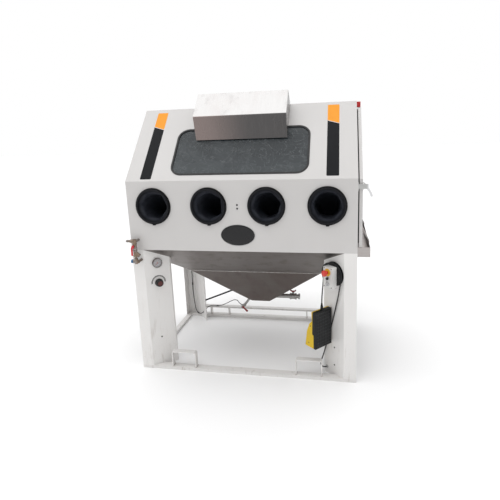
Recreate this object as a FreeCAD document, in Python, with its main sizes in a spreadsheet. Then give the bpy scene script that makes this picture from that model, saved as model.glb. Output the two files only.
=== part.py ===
# Sandblast cabinet: a welded sheet cabinet with a sloped window, four arm ports and a
# hopper, on four folded legs joined by floor rails with pockets for a fork lift.
# X is right, Y is back, Z is up. The origin is on the floor, under the front rail's middle.
import FreeCAD, Part
import math
import os
import Sketcher
from FreeCAD import Placement, Rotation, Vector

doc = FreeCAD.newDocument("SandblastCabinet")
sheet = doc.addObject("Spreadsheet::Sheet", "Sizes")
doc.recompute()


class Size:
    """A number together with the sheet formula that gives it."""

    def __init__(self, number, formula):
        self.number = float(number)
        self.formula = formula

    def __float__(self):
        return self.number

    def __add__(self, other):
        return joined(self, "+", other, self.number + float(other))

    def __radd__(self, other):
        return joined(other, "+", self, float(other) + self.number)

    def __sub__(self, other):
        return joined(self, "-", other, self.number - float(other))

    def __rsub__(self, other):
        return joined(other, "-", self, float(other) - self.number)

    def __mul__(self, other):
        return joined(self, "*", other, self.number * float(other))

    def __rmul__(self, other):
        return joined(other, "*", self, float(other) * self.number)

    def __truediv__(self, other):
        return joined(self, "/", other, self.number / float(other))

    def __rtruediv__(self, other):
        return joined(other, "/", self, float(other) / self.number)

    def __neg__(self):
        return Size(-self.number, "(0 - %s)" % self.formula)


def formula(value):
    return value.formula if isinstance(value, Size) else "%.6f" % value


def joined(first, sign, second, number):
    return Size(number, "(%s %s %s)" % (formula(first), sign, formula(second)))


def sine(angle):
    return Size(math.sin(math.radians(float(angle))), "sin(%s)" % formula(angle))


def cosine(angle):
    return Size(math.cos(math.radians(float(angle))), "cos(%s)" % formula(angle))


def tangent(angle):
    return Size(math.tan(math.radians(float(angle))), "tan(%s)" % formula(angle))


def root(value):
    return Size(math.sqrt(float(value)), "sqrt(%s)" % formula(value))


def size(name, number):
    """Write one driving dimension into the sheet and hand it back."""
    size.row += 1
    sheet.set("A%d" % size.row, name)
    sheet.set("B%d" % size.row, str(number))
    sheet.setAlias("B%d" % size.row, name)
    return Size(number, "Sizes.%s" % name)


size.row = 0


class Frame:
    """A place on the cabinet: an origin and the directions right, up and out."""

    def __init__(self, origin, right, up, out):
        self.origin = origin
        self.axes = (right, up, out)
        columns = [[float(part) for part in axis] for axis in self.axes]
        self.turn = Rotation(*[Vector(*column) for column in columns], "ZXY")

    def point(self, at):
        found = []
        for i in range(3):
            total = self.origin[i]
            for distance, axis in zip(at, self.axes):
                if float(axis[i]) and float(distance):
                    total = total + distance * axis[i]
            found.append(total)
        return found

    def vector(self, at):
        return Vector(*[float(part) for part in self.point(at)])

    def at(self, right, up, out):
        return Frame(self.point((right, up, out)), *self.axes)

    def spun(self, angle):
        """The same place turned about its out direction, anticlockwise seen from outside."""
        right, up, out = self.axes
        across, along = cosine(angle), sine(angle)
        turned_right = [across * a + along * b for a, b in zip(right, up)]
        turned_up = [across * b - along * a for a, b in zip(right, up)]
        return Frame(self.origin, turned_right, turned_up, out)


SPIN = {
    "right": Rotation(Vector(0, 1, 0), 90),
    "left": Rotation(Vector(0, 1, 0), -90),
    "up": Rotation(Vector(1, 0, 0), -90),
    "down": Rotation(Vector(1, 0, 0), 90),
    "out": Rotation(),
    "in": Rotation(Vector(1, 0, 0), 180),
}


def seat(piece, frame, at=(0, 0, 0), spin="out"):
    """Put a piece's own origin at a place in a frame, with its axis along spin."""
    base = frame.point(at)
    turn = frame.turn.multiply(SPIN[spin])
    piece.Placement = Placement(Vector(*[float(part) for part in base]), turn)
    for axis, part in zip("xyz", base):
        if isinstance(part, Size):
            piece.setExpression("Placement.Base." + axis, part.formula)
    return piece


def bind(piece, **values):
    for name, value in values.items():
        setattr(piece, name, float(value))
        if isinstance(value, Size):
            piece.setExpression(name, value.formula)
    return piece


def box(frame, low, high):
    """A block between two corners told in a frame."""
    piece = doc.addObject("Part::Box", "Block")
    bind(piece, Length=high[0] - low[0], Width=high[1] - low[1], Height=high[2] - low[2])
    return seat(piece, frame, low)


def rod(frame, at, radius, length, spin="out"):
    piece = doc.addObject("Part::Cylinder", "Rod")
    bind(piece, Radius=radius, Height=length)
    return seat(piece, frame, at, spin)


def plane_of(body, role):
    return [plane for plane in body.Origin.OriginFeatures if plane.Role == role][0]


def fixed_point(sketch, item, end, across, along):
    """Hold one sketch point at two sizes from the sketch's origin."""
    for kind, value, axis in (("DistanceX", across, -2), ("DistanceY", along, -1)):
        if abs(float(value)) < 1e-9:
            sketch.addConstraint(Sketcher.Constraint("PointOnObject", item, end, axis))
            continue
        at = Sketcher.Constraint(kind, -1, 1, item, end, float(value))
        number = sketch.addConstraint(at)
        if isinstance(value, Size):
            sketch.setExpression("Constraints[%d]" % number, value.formula)


def outline_sketch(body, outline, circles=()):
    """Draw a closed outline of straight edges, with round holes, on the body's XY plane."""
    sketch = body.newObject("Sketcher::SketchObject", "Outline")
    sketch.AttachmentSupport = (plane_of(body, "XY_Plane"), [""])
    sketch.MapMode = "FlatFace"
    ends = [Vector(float(x), float(y), 0) for x, y in outline]
    count = len(ends)
    for i in range(count):
        sketch.addGeometry(Part.LineSegment(ends[i], ends[(i + 1) % count]), False)
    for i in range(count):
        sketch.addConstraint(Sketcher.Constraint("Coincident", i, 2, (i + 1) % count, 1))
    for i in range(count):
        fixed_point(sketch, i, 1, *outline[i])
    for x, y, radius in circles:
        middle = Vector(float(x), float(y), 0)
        item = sketch.addGeometry(Part.Circle(middle, Vector(0, 0, 1), float(radius)), False)
        fixed_point(sketch, item, 3, x, y)
        number = sketch.addConstraint(Sketcher.Constraint("Radius", item, float(radius)))
        if isinstance(radius, Size):
            sketch.setExpression("Constraints[%d]" % number, radius.formula)
    return sketch


def pad(frame, outline, depth, circles=(), at=(0, 0, 0)):
    """A plate with the given outline, from the frame's plane outwards by depth."""
    body = doc.addObject("PartDesign::Body", "Plate")
    feature = body.newObject("PartDesign::Pad", "Pad")
    feature.Profile = outline_sketch(body, outline, circles)
    bind(feature, Length=depth)
    return seat(body, frame, at)


def turned(frame, outline, at=(0, 0, 0), spin="out"):
    """A turned piece: outline points are (radius, height along the axis)."""
    body = doc.addObject("PartDesign::Body", "Turned")
    sketch = outline_sketch(body, outline)
    sketch.AttachmentSupport = (plane_of(body, "XZ_Plane"), [""])
    feature = body.newObject("PartDesign::Revolution", "Revolution")
    feature.Profile = sketch
    feature.ReferenceAxis = (sketch, ["V_Axis"])
    feature.Angle = 360
    return seat(body, frame, at, spin)


def fuse(*parts):
    piece = doc.addObject("Part::MultiFuse", "Joined")
    piece.Shapes = list(parts)
    return piece


def cut(base, *tools):
    piece = doc.addObject("Part::Cut", "Cut")
    piece.Base = base
    piece.Tool = tools[0] if len(tools) == 1 else fuse(*tools)
    return piece


def common(base, tool):
    piece = doc.addObject("Part::Common", "Common")
    piece.Base = base
    piece.Tool = tool
    return piece


def group(*parts):
    piece = doc.addObject("Part::Compound", "Group")
    piece.Links = list(parts)
    return piece


def rounded(base, radius, wanted):
    """Round the edges of base for which wanted(middle, direction) holds."""
    doc.recompute()
    picked = []
    for number, edge in enumerate(base.Shape.Edges, 1):
        ends = edge.Vertexes
        if len(ends) == 2 and edge.Length > 0.01:
            direction = (ends[1].Point - ends[0].Point).normalize()
            if wanted(edge.CenterOfMass, direction):
                picked.append((number, float(radius), float(radius)))
    piece = doc.addObject("Part::Fillet", "Rounded")
    piece.Base = base
    piece.Edges = picked
    return piece


def along(frame, axis):
    """A test for edges that run along one direction of a frame."""
    wanted = Vector(*[float(part) for part in frame.axes[axis]])
    return lambda middle, direction: abs(direction.dot(wanted)) > 0.999


def shaped(shape):
    """A piece whose form is worked out below instead of by one of the kinds above."""
    piece = doc.addObject("Part::Feature", "Formed")
    piece.Shape = shape
    return piece


NODES = []


def node(label, piece):
    piece.Label = label
    NODES.append(piece)
    return piece


zero = Size(0, "0")

# The cabinet's main sizes.
cabinet_width = size("cabinet_width", 1500)
cabinet_depth = size("cabinet_depth", 925)
front_bottom = size("front_bottom", 882)
fold_height = size("fold_height", 1345)
top_height = size("top_height", 1821)
slope_angle = size("slope_angle", 50)
sheet_wall = size("sheet_wall", 3)
rail_depth = size("rail_depth", 52)
rail_height = size("rail_height", 22)
rail_wall = size("rail_wall", 3)
side_rail_width = size("side_rail_width", 40)
soft_gap = size("soft_gap", 0.3)
half_width = cabinet_width / 2
front = -rail_depth / 2
back = front + cabinet_depth
slope_run = (top_height - fold_height) / tangent(slope_angle)
slope_length = (top_height - fold_height) / sine(slope_angle)
fold_mitre = tangent((90 - slope_angle) / 2)
top_mitre = tangent(slope_angle / 2)

world = Frame((0, 0, 0), (1, 0, 0), (0, 1, 0), (0, 0, 1))
front_face = Frame((0, front, 0), (1, 0, 0), (0, 0, 1), (0, -1, 0))
section = Frame((0, 0, 0), (0, 1, 0), (0, 0, 1), (1, 0, 0))
left_wall = Frame((-half_width, 0, 0), (0, 1, 0), (0, 0, 1), (1, 0, 0))
right_wall = Frame((half_width, 0, 0), (0, 1, 0), (0, 0, 1), (1, 0, 0))
slope_face = Frame(
    (0, front, fold_height),
    (1, 0, 0),
    (0, cosine(slope_angle), sine(slope_angle)),
    (0, -sine(slope_angle), cosine(slope_angle)),
)


def side_outline(inset, bottom, top, rear):
    """The cabinet's side seen from the right, drawn in from its edges by the given amounts."""
    top_line = top_height - top
    upper_y = front + slope_run + inset / sine(slope_angle) - top / tangent(slope_angle)
    return [
        (front + inset, front_bottom + bottom),
        (front + inset, fold_height - inset * fold_mitre),
        (upper_y, top_line),
        (back - rear, top_line),
        (back - rear, front_bottom + bottom),
    ]


# Front: two folded sheets that meet in a mitre at the break line.
port_pitch = size("port_pitch", 378)
port_height = size("port_height", 1180)
port_flange_radius = size("port_flange_radius", 121.5)
port_neck_radius = size("port_neck_radius", 112)
port_bore_radius = size("port_bore_radius", 104)
port_proud = size("port_proud", 15)
port_tail = size("port_tail", 30)
bottom_lip = size("bottom_lip", 25)
port_places = [(i - 1.5) * port_pitch for i in range(4)]

front_sheet = pad(
    section,
    [
        (front, front_bottom),
        (front, fold_height),
        (front + sheet_wall, fold_height - sheet_wall * fold_mitre),
        (front + sheet_wall, front_bottom + sheet_wall),
        (front + bottom_lip, front_bottom + sheet_wall),
        (front + bottom_lip, front_bottom),
    ],
    cabinet_width,
    at=(0, 0, -half_width),
)
port_holes = [
    rod(front_face, (x, port_height, -2 * sheet_wall), port_neck_radius, 3 * sheet_wall)
    for x in port_places
]
lip_ends = [
    box(
        world,
        (x, front + sheet_wall, front_bottom - 1),
        (x + sheet_wall, front + bottom_lip + 1, front_bottom + sheet_wall + 1),
    )
    for x in (-half_width, half_width - sheet_wall)
]
front_pressed = cut(front_sheet, *port_holes, *lip_ends)
sections = []
for low, high in (
    (-half_width - 1, -port_pitch), (-port_pitch, zero), (zero, port_pitch),
    (port_pitch, half_width + 1),
):
    strip_box = box(world, (low, front - 1, front_bottom - 1), (high, front + 60, fold_height + 1))
    sections.append(common(front_pressed, strip_box))
node("front_panel", group(*sections))

window_half = size("window_half", 455)
window_low = size("window_low", 42)
window_high = size("window_high", 428)
window_corner = size("window_corner", 80)
gasket_width = size("gasket_width", 14)
gasket_cover = size("gasket_cover", 9)
gasket_proud = size("gasket_proud", 4)
glass_wall = size("glass_wall", 6)


def window_slab(inset, low, high):
    """A slab with the window's rounded outline, drawn in by inset, between two heights."""
    block = box(
        slope_face,
        (inset - window_half, window_low + inset, low),
        (window_half - inset, window_high - inset, high),
    )
    return rounded(block, float(window_corner) - float(inset), along(slope_face, 2))


upper_sheet = pad(
    section,
    [
        (front, fold_height),
        (front + slope_run, top_height),
        (front + slope_run + sheet_wall * top_mitre, top_height - sheet_wall),
        (front + sheet_wall, fold_height - sheet_wall * fold_mitre),
    ],
    cabinet_width,
    at=(0, 0, -half_width),
)
wiper_offset = size("wiper_offset", 106)
wiper_up = size("wiper_up", 446)
spindle_radius = size("spindle_radius", 6)
spindle_gap = size("spindle_gap", 0.05)
spindle_hole = rod(
    slope_face, (wiper_offset, wiper_up, -2 * sheet_wall), spindle_radius + 2, 3 * sheet_wall
)
window_hole = window_slab(gasket_cover, -2 * sheet_wall, sheet_wall)
node("window_panel", cut(upper_sheet, window_hole, spindle_hole))

# The rubber strip has a slot outside for the sheet and one inside for the glass.
strip_low = -(sheet_wall + gasket_proud + glass_wall)
glass_slot = window_slab(gasket_width - gasket_cover / 2, strip_low + gasket_proud, -sheet_wall)
strip = cut(
    window_slab(zero, strip_low, gasket_proud),
    window_slab(gasket_width, strip_low - 1, gasket_proud + 1),
    glass_slot,
    cut(
        window_slab(zero - 1, -sheet_wall, zero),
        window_slab(gasket_cover, -sheet_wall - 1, zero + 1),
    ),
)
node("window_gasket", strip)
node(
    "window_glass",
    window_slab(gasket_width - gasket_cover / 2, strip_low + gasket_proud, -sheet_wall),
)

# Sides, top and back of the box.
door_edge_gap = size("door_edge_gap", 16)
door_bottom_gap = size("door_bottom_gap", 40)
door_top_gap = size("door_top_gap", 45)
opening_margin = size("opening_margin", 60)
inner_side = side_outline(sheet_wall, 0, sheet_wall, sheet_wall)
node("left_side_panel", pad(left_wall, inner_side, sheet_wall))
right_sheet = pad(right_wall, inner_side, sheet_wall, at=(0, 0, -sheet_wall))
doorway = pad(
    right_wall,
    side_outline(opening_margin, opening_margin, opening_margin, opening_margin),
    3 * sheet_wall,
    at=(0, 0, -2 * sheet_wall),
)
node("right_side_frame", cut(right_sheet, doorway))
top_outline = [
    (front + slope_run, top_height),
    (back, top_height),
    (back, top_height - sheet_wall),
    (front + slope_run + sheet_wall * top_mitre, top_height - sheet_wall),
]
top_sheet = pad(section, top_outline, cabinet_width, at=(0, 0, -half_width))

exhaust_radius = size("exhaust_radius", 75)
exhaust_length = size("exhaust_length", 80)
exhaust_height = size("exhaust_height", 1640)
exhaust_wall = size("exhaust_wall", 2)
back_face = Frame((0, back, 0), (-1, 0, 0), (0, 0, 1), (0, 1, 0))
back_sheet = box(
    back_face,
    (-half_width, front_bottom, -sheet_wall),
    (half_width, top_height - sheet_wall, zero),
)
back_lip = box(
    back_face,
    (sheet_wall - half_width, front_bottom, -bottom_lip),
    (half_width - sheet_wall, front_bottom + sheet_wall, -sheet_wall),
)
exhaust_hole = rod(
    back_face, (0, exhaust_height, -2 * sheet_wall), exhaust_radius, 3 * sheet_wall
)
node("rear_cover", cut(fuse(top_sheet, back_sheet, back_lip), exhaust_hole))
spigot_rim = size("spigot_rim", 18)
spigot_outline = [
    (exhaust_radius - exhaust_wall, -sheet_wall),
    (exhaust_radius, -sheet_wall),
    (exhaust_radius, 0),
    (exhaust_radius + spigot_rim, 0),
    (exhaust_radius + spigot_rim, exhaust_wall),
    (exhaust_radius, exhaust_wall),
    (exhaust_radius, exhaust_length),
    (exhaust_radius - exhaust_wall, exhaust_length),
]
node("exhaust_spigot", turned(back_face, spigot_outline, at=(0, exhaust_height, 0)))

# Hopper: a wide upper funnel, a fold, and a steeper lower funnel to a flat floor.
hopper_fold_height = size("hopper_fold_height", 604)
hopper_fold_setback = size("hopper_fold_setback", 409)
hopper_fold_half = size("hopper_fold_half", 502)
hopper_floor_height = size("hopper_floor_height", 280)
hopper_floor_half = size("hopper_floor_half", 75)
hopper_floor_reach = size("hopper_floor_reach", 300)
hopper_floor_setback = cabinet_depth - hopper_floor_reach
hopper_floor_depth = size("hopper_floor_depth", 150)
hopper_wall = size("hopper_wall", 5)
hopper_floor_wall = size("hopper_floor_wall", 4)
hopper_drop = front_bottom - hopper_floor_height
back_drift = cabinet_depth - hopper_floor_setback - hopper_floor_depth
fold_drop = front_bottom - hopper_fold_height
fold_back = cabinet_depth - back_drift * fold_drop / hopper_drop
downwards = Frame((0, front, front_bottom), (1, 0, 0), (0, 0, -1), (0, 1, 0))


def funnel(top, top_half, top_front, top_back, low, low_half, low_front, low_back):
    """A four-sided funnel between two rectangles, measured down and back from the front sheet."""
    piece = doc.addObject("Part::Wedge", "Funnel")
    bind(
        piece,
        Xmin=-top_half, Xmax=top_half, X2min=-low_half, X2max=low_half,
        Ymin=top, Ymax=low,
        Zmin=top_front, Zmax=top_back, Z2min=low_front, Z2max=low_back,
    )
    return seat(piece, downwards)


def hopper_form(inset, floor_gap):
    upper = funnel(
        zero, half_width - inset, zero + inset, cabinet_depth - inset,
        fold_drop, hopper_fold_half - inset, hopper_fold_setback + inset, fold_back - inset,
    )
    lower = funnel(
        fold_drop, hopper_fold_half - inset, hopper_fold_setback + inset, fold_back - inset,
        hopper_drop - floor_gap, hopper_floor_half - inset,
        hopper_floor_setback + inset, hopper_floor_setback + hopper_floor_depth - inset,
    )
    return fuse(upper, lower)


hopper_outside = hopper_form(zero, zero)
drain_radius = size("drain_radius", 18)
drain_up = size("drain_up", 21)
drain_inset = size("drain_inset", 75)
drain_setback = hopper_floor_setback + drain_inset
drain_axis = Frame(
    (0, front + drain_setback, hopper_floor_height + drain_up), (0, 1, 0), (0, 0, 1), (1, 0, 0)
)
drain_bore = size("drain_bore", 14)
drain_end = size("drain_end", 235)
drain_hole = rod(drain_axis, (0, 0, hopper_floor_half / 2), drain_bore, hopper_floor_half)
hopper_shell = cut(hopper_form(zero, zero), hopper_form(hopper_wall, hopper_floor_wall), drain_hole)
below_fold = box(
    world, (-half_width - 1, front - 1, zero), (half_width + 1, back + 1, hopper_fold_height)
)
above_fold = box(
    world, (-half_width - 1, front - 1, hopper_fold_height),
    (half_width + 1, back + 1, front_bottom + 1),
)
node("hopper", group(cut(hopper_shell, below_fold), cut(hopper_shell, above_fold)))

# Legs: one folded sheet each, cut to the hopper above and notched over the rails below.
leg_flange = size("leg_flange", 80)
leg_run_x = size("leg_run_x", 130)
leg_run_y = size("leg_run_y", 120)
leg_return = size("leg_return", 20)
leg_wall = size("leg_wall", 3)
leg_face_length = root(leg_run_x * leg_run_x + leg_run_y * leg_run_y)
leg_cos = leg_run_x / leg_face_length
leg_sin = leg_run_y / leg_face_length


def leg_sheet(left, rear):
    across = -1 if left else 1
    deep = -1 if rear else 1
    first_mitre = leg_wall * leg_sin / (1 + leg_cos)
    last_mitre = leg_wall * leg_cos / (1 + leg_sin)
    points = [
        (0, leg_flange),
        (0, 0),
        (leg_flange, 0),
        (leg_flange + leg_run_x, leg_run_y),
        (leg_flange + leg_run_x, leg_run_y + leg_return),
        (leg_flange + leg_run_x - leg_wall, leg_run_y + leg_return),
        (leg_flange + leg_run_x - leg_wall, leg_run_y + last_mitre),
        (leg_flange - first_mitre, leg_wall),
        (leg_wall, leg_wall),
        (leg_wall, leg_flange),
    ]
    corner_y = back if rear else front
    placed = [(across * (half_width - x), corner_y + deep * y) for x, y in points]
    return pad(world, placed, front_bottom)


def rail_block(low, high):
    return box(world, low, high)


front_rail_low = (-half_width, front, zero)
front_rail_high = (half_width, front + rail_depth, rail_height)
rear_rail_low = (-half_width, back - rail_depth, zero)
rear_rail_high = (half_width, back, rail_height)
side_low = front + rail_depth
side_high = back - rail_depth
left_rail_low = (-half_width, side_low, zero)
left_rail_high = (side_rail_width - half_width, side_high, rail_height)
right_rail_low = (half_width - side_rail_width, side_low, zero)
right_rail_high = (half_width, side_high, rail_height)

left_leg_face = Frame(
    (leg_flange - half_width, front, 0), (leg_cos, leg_sin, 0), (0, 0, 1), (leg_sin, -leg_cos, 0)
)
right_leg_face = Frame(
    (half_width - leg_flange, front, 0), (leg_cos, -leg_sin, 0), (0, 0, 1), (-leg_sin, -leg_cos, 0)
)
gauge_along = size("gauge_along", 87)
gauge_height = size("gauge_height", 774)
gauge_radius = size("gauge_radius", 34)
gauge_can_radius = size("gauge_can_radius", 29)
knob_height = size("knob_height", 632)
knob_radius = size("knob_radius", 28)
knob_shaft_radius = size("knob_shaft_radius", 6)
knob_collar_radius = size("knob_collar_radius", 17)
grommet_along = size("grommet_along", 151)
grommet_height = size("grommet_height", 45)
grommet_radius = size("grommet_radius", 9)


def leg(left, rear, holes=()):
    keep_out = [
        hopper_form(zero, zero),
        box(world, front_rail_low, front_rail_high),
        box(world, rear_rail_low, rear_rail_high),
        box(world, left_rail_low, left_rail_high),
        box(world, right_rail_low, right_rail_high),
    ]
    return cut(leg_sheet(left, rear), *keep_out, *holes)


gauge_hole = rod(left_leg_face, (gauge_along, gauge_height, -2 * leg_wall), gauge_can_radius, 3 * leg_wall)
knob_hole = rod(
    left_leg_face, (gauge_along, knob_height, -2 * leg_wall), knob_collar_radius, 3 * leg_wall
)
grommet_hole = rod(
    right_leg_face, (-grommet_along, grommet_height, -2 * leg_wall), grommet_radius, 3 * leg_wall
)
node("front_left_leg", leg(True, False, (gauge_hole, knob_hole)))
node("front_right_leg", leg(False, False, (grommet_hole,)))
line_hole_x = size("line_hole_x", -586)
line_hole_height = size("line_hole_height", 55)
line_hole_radius = size("line_hole_radius", 10)
rear_leg_face = Frame(
    (leg_flange - half_width, back, 0), (-leg_cos, leg_sin, 0), (0, 0, 1), (leg_sin, leg_cos, 0)
)
line_hole_along = -(line_hole_x + half_width - leg_flange) / leg_cos
line_hole = rod(
    rear_leg_face, (line_hole_along, line_hole_height, -2 * leg_wall), line_hole_radius, 3 * leg_wall
)
node("rear_legs", group(leg(True, True, (line_hole,)), leg(False, True)))


# Floor rails: flat tubes, with the side rails butted between the front and rear ones.
def tube(low, high, length_axis):
    inner_low = [low[i] if i == length_axis else low[i] + rail_wall for i in range(3)]
    inner_high = [high[i] if i == length_axis else high[i] - rail_wall for i in range(3)]
    return cut(box(world, low, high), box(world, inner_low, inner_high))


front_rail = tube(front_rail_low, front_rail_high, 0)
rear_rail = tube(rear_rail_low, rear_rail_high, 0)
left_rail = tube(left_rail_low, left_rail_high, 1)
right_rail = tube(right_rail_low, right_rail_high, 1)
node("floor_rails", fuse(front_rail, rear_rail, left_rail, right_rail))

# Fork pockets: a bent strap over the front rail, posts and a crossbar at the rear.
fork_inner = size("fork_inner", 352)
fork_outer = size("fork_outer", 530)
fork_top = size("fork_top", 135)
fork_strap_width = size("fork_strap_width", 40)
fork_strap_wall = size("fork_strap_wall", 6)
fork_bend = size("fork_bend", 14)


def fork_strap(side):
    low_x, high_x = sorted((side * fork_inner, side * fork_outer), key=float)
    middle = front + rail_depth / 2
    near = middle - fork_strap_width / 2
    far = middle + fork_strap_width / 2
    outer = box(world, (low_x, near, rail_height), (high_x, far, fork_top))
    corner = lambda middle, way: abs(way.y) > 0.999 and middle.z > float(rail_height) + 20
    outer = rounded(outer, fork_bend, corner)
    inner = box(
        world,
        (low_x + fork_strap_wall, near - 1, rail_height - 1),
        (high_x - fork_strap_wall, far + 1, fork_top - fork_strap_wall),
    )
    inner = rounded(inner, fork_bend - fork_strap_wall, corner)
    return cut(outer, inner)


node("fork_straps", group(fork_strap(-1), fork_strap(1)))
crossbar_low = size("crossbar_low", 86)
crossbar_high = size("crossbar_high", 101)
crossbar_depth = size("crossbar_depth", 40)
post_wall = size("post_wall", 8)
crossbar_back = back - leg_wall
cross_back_half = half_width - leg_flange - leg_wall * leg_run_x / leg_run_y
cross_front_half = cross_back_half - crossbar_depth * leg_run_x / leg_run_y
crossbar = pad(
    world.at(0, 0, crossbar_low),
    [
        (-cross_front_half, crossbar_back - crossbar_depth),
        (cross_front_half, crossbar_back - crossbar_depth),
        (cross_back_half, crossbar_back),
        (-cross_back_half, crossbar_back),
    ],
    crossbar_high - crossbar_low,
)
posts = []
for post_x in (-fork_outer, -fork_inner - post_wall, zero + fork_inner, fork_outer - post_wall):
    posts.append(
        box(
            world,
            (post_x, crossbar_back - crossbar_depth, rail_height),
            (post_x + post_wall, crossbar_back, crossbar_low),
        )
    )
node("rear_crossbar", fuse(crossbar, *posts))

# Lamp housing over the window's top edge, with the tube lamp and the wiper motor in it.
lamp_width = size("lamp_width", 621)
lamp_offset = size("lamp_offset", -5)
lamp_foot = size("lamp_foot", 322)
lamp_brow = size("lamp_brow", 417)
lamp_height = size("lamp_height", 130)
lamp_wall = size("lamp_wall", 2)
lamp_frame = Frame(
    slope_face.origin, slope_face.axes[1], slope_face.axes[2], slope_face.axes[0]
).at(0, 0, lamp_offset - lamp_width / 2)
lamp_slant = (lamp_brow - lamp_foot) / lamp_height
lamp_back = slope_length
lamp_outside = pad(
    lamp_frame,
    [(lamp_foot, 0), (lamp_brow, lamp_height), (lamp_back, lamp_height), (lamp_back, 0)],
    lamp_width,
)
lamp_inside = pad(
    lamp_frame,
    [
        (lamp_foot + lamp_wall * 1.3 - lamp_slant, -1),
        (lamp_brow + lamp_wall * 1.3 - lamp_wall * lamp_slant, lamp_height - lamp_wall),
        (lamp_back - lamp_wall, lamp_height - lamp_wall),
        (lamp_back - lamp_wall, -1),
    ],
    lamp_width - 2 * lamp_wall,
    at=(0, 0, lamp_wall),
)
strip_room = box(
    slope_face,
    (-window_half - 1, window_low - 1, -1),
    (window_half + 1, window_high + soft_gap, gasket_proud + soft_gap),
)
node("lamp_housing", cut(lamp_outside, lamp_inside, strip_room))
tube_radius = size("tube_radius", 13)
lamp_tube_up = size("lamp_tube_up", 396)
lamp_tube_out = size("lamp_tube_out", 74)
node(
    "lamp_tube",
    rod(
        lamp_frame,
        (lamp_tube_up, lamp_tube_out, lamp_wall),
        tube_radius,
        lamp_width - 2 * lamp_wall,
    ),
)
motor_radius = size("motor_radius", 28)
motor_length = size("motor_length", 70)
wiper_place = slope_face.at(wiper_offset, wiper_up, 0)
motor_boss_radius = size("motor_boss_radius", 15)
motor_outline = [
    (spindle_radius + spindle_gap, 0),
    (motor_boss_radius, 0),
    (motor_boss_radius, gasket_proud + 2),
    (motor_radius, gasket_proud + 2),
    (motor_radius, motor_length),
    (zero, motor_length),
    (zero, motor_length - 30),
    (spindle_radius + spindle_gap, motor_length - 30),
]
node("wiper_motor", turned(wiper_place, motor_outline))

# Wiper: a spindle through the sheet with an arm and a rubber blade behind the glass.
wiper_park = size("wiper_park", -57)
wiper_reach = size("wiper_reach", 245)
blade_low = size("blade_low", 286)
blade_high = size("blade_high", 76)
arm_depth = size("arm_depth", 5)
spindle_tail = size("spindle_tail", 30)
parked = wiper_place.spun(wiper_park)
spindle = rod(parked, (0, 0, -spindle_tail), spindle_radius, motor_length - 32 + spindle_tail)
arm_level = -spindle_tail
arm_plate = box(parked, (-8, -wiper_reach, arm_level), (8, 10, arm_level + arm_depth))
node("wiper_arm", fuse(spindle, arm_plate))
blade_top = strip_low - soft_gap
blade_level = arm_level + arm_depth
blade_outline = [
    (-9, blade_level), (9, blade_level), (9, blade_level + 4), (2, blade_level + 5),
    (1.2, blade_top + gasket_proud - 1), (-1.2, blade_top + gasket_proud - 1),
    (-2, blade_level + 5), (-9, blade_level + 4),
]
blade_frame = Frame(
    parked.origin, parked.axes[0], parked.axes[2], [-1 * part for part in parked.axes[1]]
)
node(
    "wiper_blade",
    pad(blade_frame, blade_outline, blade_low - blade_high, at=(0, 0, blade_high)),
)

# Arm ports: a ring in the sheet, a rubber gauntlet stretched over its neck and a band.
cuff_wall = size("cuff_wall", 3)
band_wall = size("band_wall", 2.5)
band_width = size("band_width", 9)
port_ring = [
    (port_bore_radius, -sheet_wall - port_tail),
    (port_neck_radius - soft_gap, -sheet_wall - port_tail),
    (port_neck_radius - soft_gap, 0),
    (port_flange_radius, 0),
    (port_flange_radius, 2),
    (port_neck_radius, 3),
    (port_neck_radius, port_proud),
    (port_bore_radius, port_proud),
]
band_ring = [
    (port_neck_radius + cuff_wall, 4.5),
    (port_neck_radius + cuff_wall + band_wall, 4.5),
    (port_neck_radius + cuff_wall + band_wall, 4.5 + band_width),
    (port_neck_radius + cuff_wall, 4.5 + band_width),
]


def gauntlet(place):
    """A cuff over the neck, then a sleeve that narrows and droops to a closed mitt."""
    cuff = [
        (port_neck_radius, 3.5), (port_neck_radius + cuff_wall, 3.5),
        (port_neck_radius + cuff_wall, port_proud + cuff_wall),
        (port_bore_radius - cuff_wall, port_proud + cuff_wall),
        (port_bore_radius - cuff_wall, -60), (port_bore_radius, -60),
        (port_bore_radius, port_proud), (port_neck_radius, port_proud),
    ]
    stations = [(60, 0, 104), (150, 10, 92), (260, 48, 74), (350, 105, 62), (420, 170, 52)]
    sleeve = []
    for wall in (0, float(cuff_wall)):
        rings = []
        for depth, drop, radius in stations:
            lean = math.atan2(drop, depth) / 2
            middle = place.vector((0, -drop, -depth))
            way = Vector(0, math.cos(lean), -math.sin(lean))
            if depth == 60:
                way = Vector(0, 1, 0)
            rings.append(Part.Wire(Part.makeCircle(radius - wall, middle, way)))
        sleeve.append(Part.makeLoft(rings, True, False))
    hand_middle = place.vector((0, -170, -420))
    hand = Part.makeSphere(51.0, hand_middle)
    palm = Part.makeSphere(51.0 - float(cuff_wall), hand_middle)
    outside = sleeve[0].fuse(hand)
    inside = sleeve[1].fuse(palm)
    return turned(place, cuff), shaped(outside.cut(inside).removeSplitter())


rings, bands, cuffs = [], [], []
for x in port_places:
    place = front_face.at(x, port_height, 0)
    rings.append(turned(place, port_ring))
    screw = box(
        place,
        (-9, -port_flange_radius - 4, zero + 5.5),
        (9, -(port_neck_radius + cuff_wall + band_wall) + 0.8, zero + 12.5),
    )
    bands.append(fuse(turned(place, band_ring), screw))
    cuffs.append(fuse(*gauntlet(place)))
node("arm_port_rings", group(*rings))
node("port_clamp_bands", group(*bands))
node("outer_gauntlets", group(cuffs[0], cuffs[3]))
node("inner_gauntlets", group(cuffs[1], cuffs[2]))

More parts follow.
